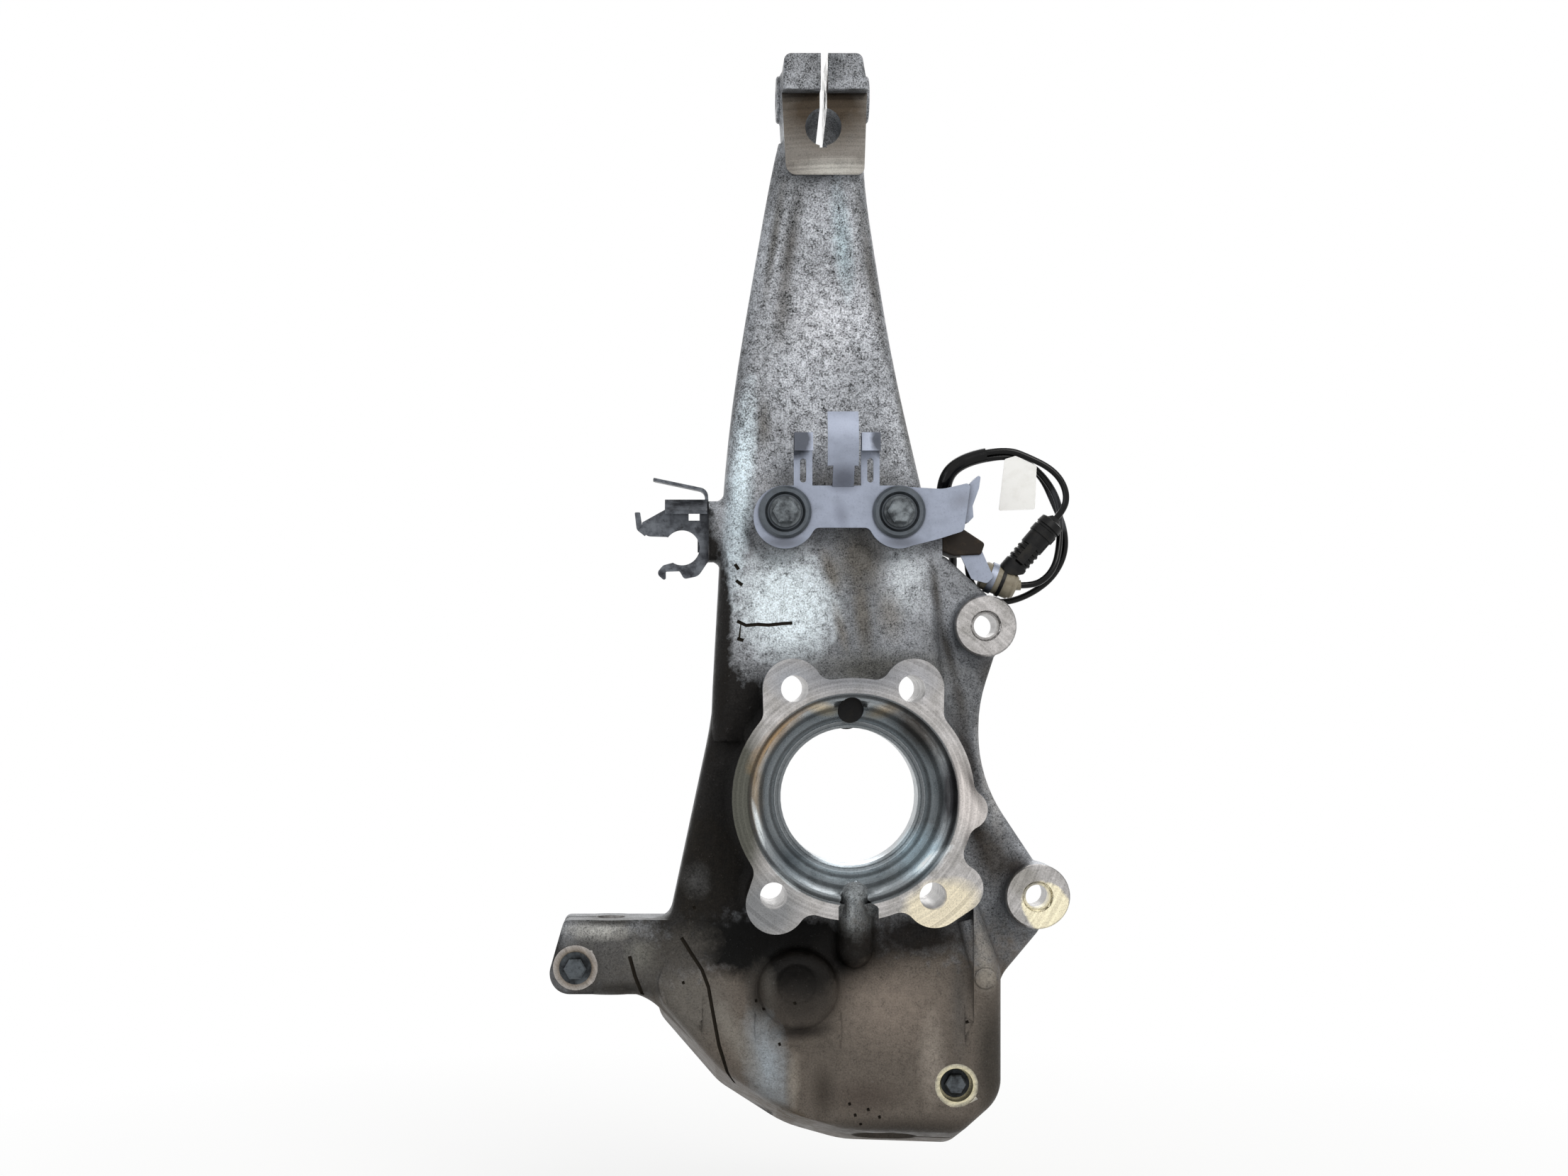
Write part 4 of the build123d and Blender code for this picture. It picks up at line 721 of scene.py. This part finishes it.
# ---------------------------------------------------------------- leads
# Routes in millimetres, diameter and length in millimetres, and what is on the far end.
LEADS = {
    "sensor_lead": (4.6, 155.6, "object", "medium", [
        (0, 76, 47), (0, 89, 47), (8, 97, 55), (24, 100, 70), (44, 96, 92), (60, 86, 114), (62, 74, 129),
        (58, 65.25, 141.75), (55, 57, 153)]),
    "cable_sheath": (8.0, 51.1, "object", "stiff", [
        (55, 57, 153), (51, 46, 168), (60, 46, 183.5), (76, 46, 186.5)]),
    "cable_inner": (3.6, 69.3, "plug", "medium", [
        (75.8, 44.14, 187.56), (87.6, 44.14, 189.77), (100.5, 43.6, 184.5), (110.3, 43.6, 179.5),
        (116.9, 43.6, 173), (120, 43.2, 164.6), (118.57, 42.7, 156.80), (113.98, 42.7, 151.52)]),
    "cable_outer": (3.6, 169.6, "object", "medium", [
        (75.8, 47.86, 187.56), (85.63, 47.86, 189.40), (98.5, 53.5, 184), (108.5, 54.3, 174.5),
        (114.5, 54.3, 161), (120.5, 54.3, 147), (121, 54.3, 133), (114.5, 55, 120), (103, 57, 111),
        (90, 59, 106), (78, 59, 107), (68.5, 52, 116), (66, 48, 126), (66, 48, 134)]),
    "cable_socket": (3.6, 111.3, "connector", "medium", [
        (76.4, 46, 184.39), (84.26, 46, 185.86), (93, 46.6, 184.9), (102, 49.3, 181), (111, 50.2, 172),
        (117, 50.2, 160), (117.3, 49.6, 147), (116, 46, 134.5), (113.5, 43.5, 125.5), (108.5, 42.7, 118.8),
        (101.5, 42.7, 115), (94.5, 42.7, 115)]),
}
TAPE = [((119, 54, 160), (9, 12, 16), 0, "#3a3b3f", 0.85, 0.2),
        ((72, 59, 108), (12, 12, 7), 0, "#3a3b3f", 0.8, 0.3)]


def lead_jacket(colours):
    """PVC jacket, extruded: glossy black with dust in drifts and a stretch of dull cloth tape."""
    return moulded("pvc_lead_jacket", colours.jacket, "#1d1b19", 0.14, 0.3, 1.5, TAPE)


class KNUCKLE_OT_leads(bpy.types.Operator):
    """Black leads and their sheath, each a smooth cord along its route"""
    bl_idname = "knuckle.leads"
    bl_label = "Leads"

    def execute(self, context):
        jacket = lead_jacket(context.scene.knuckle)
        for name, (diameter, length, far_end, stiffness, route) in LEADS.items():
            curve = bpy.data.curves.new(name + "_cord", "CURVE")
            curve.dimensions = "3D"
            curve.resolution_u = 16
            curve.bevel_depth = diameter / 2 * MM
            curve.bevel_resolution = 6
            curve.use_fill_caps = True
            spline = curve.splines.new("NURBS")
            spline.points.add(len(route) - 1)
            for spot, point in zip(spline.points, route):
                spot.co = (*mm(*point), 1)
            spline.order_u = 3
            spline.use_endpoint_u = True
            curve.materials.append(jacket)
            cord = object_of(name + "_cord", curve)
            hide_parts(name)
            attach(cord, "root")
        return {"FINISHED"}


# ---------------------------------------------------------------- operators
class KNUCKLE_OT_casting(bpy.types.Operator):
    """Casting with cast fillets, machined faces, seams and grime"""
    bl_idname = "knuckle.casting"
    bl_label = "Casting"

    def execute(self, context):
        settings = context.scene.knuckle
        casting = casting_shape(settings)
        width = settings.seam_width / MM
        marks = scratched(casting, width)
        finder = KDTree(len(marks))
        for index, mark in enumerate(marks):
            finder.insert(mark, index)
        finder.balance()
        mesh = casting.data
        mesh.materials.clear()
        for material in (cast_aluminium(settings), machined_aluminium(settings), packed_grime(settings)):
            mesh.materials.append(material)
        mesh.shade_smooth()
        mesh.set_sharp_from_angle(angle=math.radians(SHARP_DEGREES))
        for face in mesh.polygons:
            centre = face.center / MM
            # a face lies in a seam or pit when all its corners are near the marks
            if all(finder.find(mesh.vertices[v].co / MM)[2] < width * 0.62 for v in face.vertices):
                face.material_index = 2
                continue
            face.material_index = int(is_machined(centre, face.normal))
            if face.material_index and face.normal.y < -0.98:
                face.use_smooth = False
        even = casting.modifiers.new("even", "WEIGHTED_NORMAL")
        even.keep_sharp = True
        apply_modifiers(casting)
        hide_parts("knuckle_casting")
        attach(casting, "root")
        return {"FINISHED"}


class KNUCKLE_OT_fasteners(bpy.types.Operator):
    """Bolts and washers in dark coated steel"""
    bl_idname = "knuckle.fasteners"
    bl_label = "Fasteners"

    def execute(self, context):
        settings = context.scene.knuckle
        # zinc-flake coated steel, dipped and baked: grey, blotchy, dull where the coat wore off
        coated = stained_metal("zinc_flake_coated_steel", settings.coated, "#3b3e41", "#100e0c", 0.4)
        # phosphated steel washers: dark and oiled, rubbed lighter at the rim
        rubbed = [((x, 20, z), (19.5, 40, 19.5), 0, "#4c5257", 0.9, 0.2) for x, z in BRACKET_BOLTS]
        washed = stained_metal("phosphated_steel_washer", settings.plated, "#70747a", "#1c1a18", 0.38,
                               0.7, 1.5, 0.3, rubbed)
        # the pinch bolts are darker
        darker_coated = stained_metal("zinc_flake_coated_steel_darker", linear("#565b5f"), "#292b2d", "#0e0c0b", 0.4)
        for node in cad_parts:
            if "washer" in node:
                dress(node, washed)
            elif "pinch_bolt" in node:
                dress(node, darker_coated)
            elif "bolt" in node:
                dress(node, coated)
        return {"FINISHED"}


class KNUCKLE_OT_sheets(bpy.types.Operator):
    """Bracket, side clip and connector holder in plated sheet steel"""
    bl_idname = "knuckle.sheets"
    bl_label = "Sheet parts"

    def execute(self, context):
        settings = context.scene.knuckle
        # zinc-plated sheet, pressed: smooth bluish grey; painted shade darkens the bent prongs' heads and
        # the bracket's lower edges, the tongue's root and the waist below it are darker, and a dark smudge
        # sits on the right wing
        bracket_shade_and_smudge = [((-29, 30, 192), (9, 60, 11), 0, "#33373f", 0.9, 0.3),
                 ((18, 30, 192), (9, 60, 11), 0, "#33373f", 0.9, 0.3),
                 ((-4, 30, 172), (12, 60, 9), 0, "#5a5e6a", 0.8, 0.7),
                 ((-5, 20, 152), (5, 60, 10), 12, "#6f7482", 0.6, 0.8),
                 ((60, 30, 160), (9, 60, 6), 30, "#6a6c74", 0.4, 0.8),
                 ((-36, 20, 137), (18, 60, 5), 0, "#50535b", 0.7, 0.8),
                 ((28, 20, 137), (16, 60, 5), 0, "#50535b", 0.7, 0.8)]
        plated = stained_metal("zinc_plated_sheet", settings.plated, "#8b92a1", "#5c5a60", 0.46, 0.6, 0.9,
                               0.3, bracket_shade_and_smudge)
        # galvanised sheet with road film: mottled
        galvanised = stained_metal("galvanised_sheet", settings.galvanised, "#33353a", "#161412", 0.4,
                                   0.75, 2.2, 0.6)
        dress("upper_bracket", plated)
        dress("connector_holder", plated)
        dress("side_clip", galvanised)
        return {"FINISHED"}


class KNUCKLE_OT_connector(bpy.types.Operator):
    """Sensor, holder block, socket, plug and tag"""
    bl_idname = "knuckle.connector"
    bl_label = "Sensor and connector"

    def execute(self, context):
        settings = context.scene.knuckle
        # glass-filled nylon, injection moulded: black, satin, faintly dusty
        black = moulded("glass_filled_nylon", linear("#0d0d0e"), "#3a362f", 0.4)
        for node in ("sensor_body", "connector_plug", "connector_boot", "socket_collar"):
            dress(node, black)
        # moulded rubber, aged: brownish black and matt
        dress("holder_block", moulded("aged_rubber", linear("#231d18"), "#4a3f33", 0.6, 0.6))
        # unfilled nylon, yellowed and oily: a waxy beige grey
        dress("connector_socket", moulded("yellowed_nylon", settings.nylon, "#5a5040", 0.4, 0.7))
        # printed-label film, left blank: smooth and slightly shiny
        dress("cable_tag", moulded("white_film", settings.tag, "#cfcdc6", 0.4, 0.3))
        return {"FINISHED"}


# ---------------------------------------------------------------- stage
# The camera looks along +Y; the frame's width and centre are measured in the hub face's plane.
CAMERA_DISTANCE = 1250.0
CAMERA_AXIS = (-94.0, 66.0)
FRAME_WIDTH = 829.5
FRAME_CENTRE = (-36.8, 111.9)
FLOOR_Z = -240
FLOOR_REACH = 4000


def area_light(name, place, aim, size, power, colour):
    light = bpy.data.lights.new(name, "AREA")
    light.size = size
    light.energy = power
    light.color = colour
    lamp = object_of(name, light)
    lamp.location = place
    lamp.rotation_euler = (Vector(aim) - Vector(place)).to_track_quat("-Z", "Y").to_euler()


def sees_background(owner):
    """1 for the rays that show the background: the camera's, and those off metal and through glass."""
    rays = add_node(owner, "ShaderNodeLightPath")
    either = add_node(owner, "ShaderNodeMath", {"operation": "MAXIMUM"},
                      {0: (rays, "Is Camera Ray"), 1: (rays, "Is Glossy Ray")})
    return add_node(owner, "ShaderNodeMath", {"operation": "MAXIMUM"},
                    {0: (either, "Value"), 1: (rays, "Is Transmission Ray")})


def pale_floor():
    """Plain white floor that keeps a soft shadow near the part and fades to the white backdrop."""
    pale, shader = new_material("pale_floor")
    shader.inputs["Base Color"].default_value = linear("#f4f4f2")
    shader.inputs["Roughness"].default_value = 0.9
    place = add_node(pale, "ShaderNodeTexCoord")
    away = add_node(pale, "ShaderNodeVectorMath", {"operation": "LENGTH"}, {0: (place, "Object")})
    white = spread(pale, (away, "Value"), 0.25, 0.75, 0.72, 1.0)
    glow = add_node(pale, "ShaderNodeEmission", {"Color": (1, 1, 1, 1), "Strength": 1.0})
    faded = add_node(pale, "ShaderNodeMixShader", links={
        0: (white, "Result"), 1: (shader, "BSDF"), 2: (glow, "Emission")})
    shown = add_node(pale, "ShaderNodeMixShader", links={
        0: (sees_background(pale), "Value"), 1: (shader, "BSDF"), 2: (faded, "Shader")})
    # seen from below it is clear, so that the part's underside shows
    side = add_node(pale, "ShaderNodeNewGeometry")
    rays = add_node(pale, "ShaderNodeLightPath")
    below = add_node(pale, "ShaderNodeMath", {"operation": "MULTIPLY"},
                     {0: (side, "Backfacing"), 1: (rays, "Is Camera Ray")})
    clear = add_node(pale, "ShaderNodeBsdfTransparent")
    floor = add_node(pale, "ShaderNodeMixShader", links={
        0: (below, "Value"), 1: (shown, "Shader"), 2: (clear, "BSDF")})
    link(pale, floor, "Shader", pale.node_tree.nodes["Material Output"], "Surface")
    return pale


class KNUCKLE_OT_stage(bpy.types.Operator):
    """Floor, backdrop, studio light and camera"""
    bl_idname = "knuckle.stage"
    bl_label = "Stage"

    def execute(self, context):
        scene = context.scene
        scene.view_settings.view_transform = "Standard"
        camera = bpy.data.cameras.new("camera")
        camera.sensor_width = 36
        camera.lens = 36 * CAMERA_DISTANCE / FRAME_WIDTH
        camera.shift_x = (FRAME_CENTRE[0] - CAMERA_AXIS[0]) / FRAME_WIDTH
        camera.shift_y = (FRAME_CENTRE[1] - CAMERA_AXIS[1]) / FRAME_WIDTH
        eye = object_of("camera", camera)
        eye.location = mm(CAMERA_AXIS[0], -CAMERA_DISTANCE, CAMERA_AXIS[1])
        eye.rotation_euler = (math.pi / 2, 0, 0)
        scene.camera = eye

        world = bpy.data.worlds.new("studio")
        scene.world = world
        world.use_nodes = True
        world.node_tree.nodes.clear()
        strength = spread(world, (sees_background(world), "Value"), 0.0, 1.0, 0.35, 1.0)
        background = add_node(world, "ShaderNodeBackground", {"Color": (1, 1, 1, 1)},
                              {"Strength": (strength, "Result")})
        add_node(world, "ShaderNodeOutputWorld", links={"Surface": (background, "Background")})

        floor_mesh = bpy.data.meshes.new("floor")
        corners = [mm(x * FLOOR_REACH, y * FLOOR_REACH, FLOOR_Z)
                   for x, y in ((-1, -1), (1, -1), (1, 1), (-1, 1))]
        floor_mesh.from_pydata(corners, [], [(0, 1, 2, 3)])
        floor = object_of("floor", floor_mesh)
        floor_mesh.materials.append(pale_floor())

        area_light("key", (0.9, -1.7, 1.5), (0, 0, 0.1), 1.2, 30, (1, 0.98, 0.95))
        area_light("fill", (-1.6, -1.2, 0.5), (0, 0, 0.1), 1.6, 9, (0.93, 0.96, 1))
        area_light("back", (0.3, 1.7, 1.2), (0, 0, 0.1), 1.4, 16, (1, 1, 1))
        return {"FINISHED"}


OPERATORS = [KNUCKLE_OT_stage, KNUCKLE_OT_leads, KNUCKLE_OT_casting, KNUCKLE_OT_fasteners,
             KNUCKLE_OT_sheets, KNUCKLE_OT_connector]


class KNUCKLE_PT_panel(bpy.types.Panel):
    """Lists the knuckle's settings and operators"""
    bl_idname = "KNUCKLE_PT_panel"
    bl_label = "Steering knuckle"
    bl_space_type = "VIEW_3D"
    bl_region_type = "UI"
    bl_category = "Knuckle"

    def draw(self, context):
        for name in KnuckleSettings.__annotations__:
            self.layout.prop(context.scene.knuckle, name)
        for operator in OPERATORS:
            self.layout.operator(operator.bl_idname)


CLASSES = [KnuckleSettings, *OPERATORS, KNUCKLE_PT_panel]


def register():
    for item in CLASSES:
        bpy.utils.register_class(item)
    bpy.types.Scene.knuckle = bpy.props.PointerProperty(type=KnuckleSettings)


def unregister():
    del bpy.types.Scene.knuckle
    for item in reversed(CLASSES):
        bpy.utils.unregister_class(item)


def main():
    register()
    for operator in OPERATORS:
        group, name = operator.bl_idname.split(".")
        getattr(getattr(bpy.ops, group), name)()


if __name__ == "__main__":
    main()
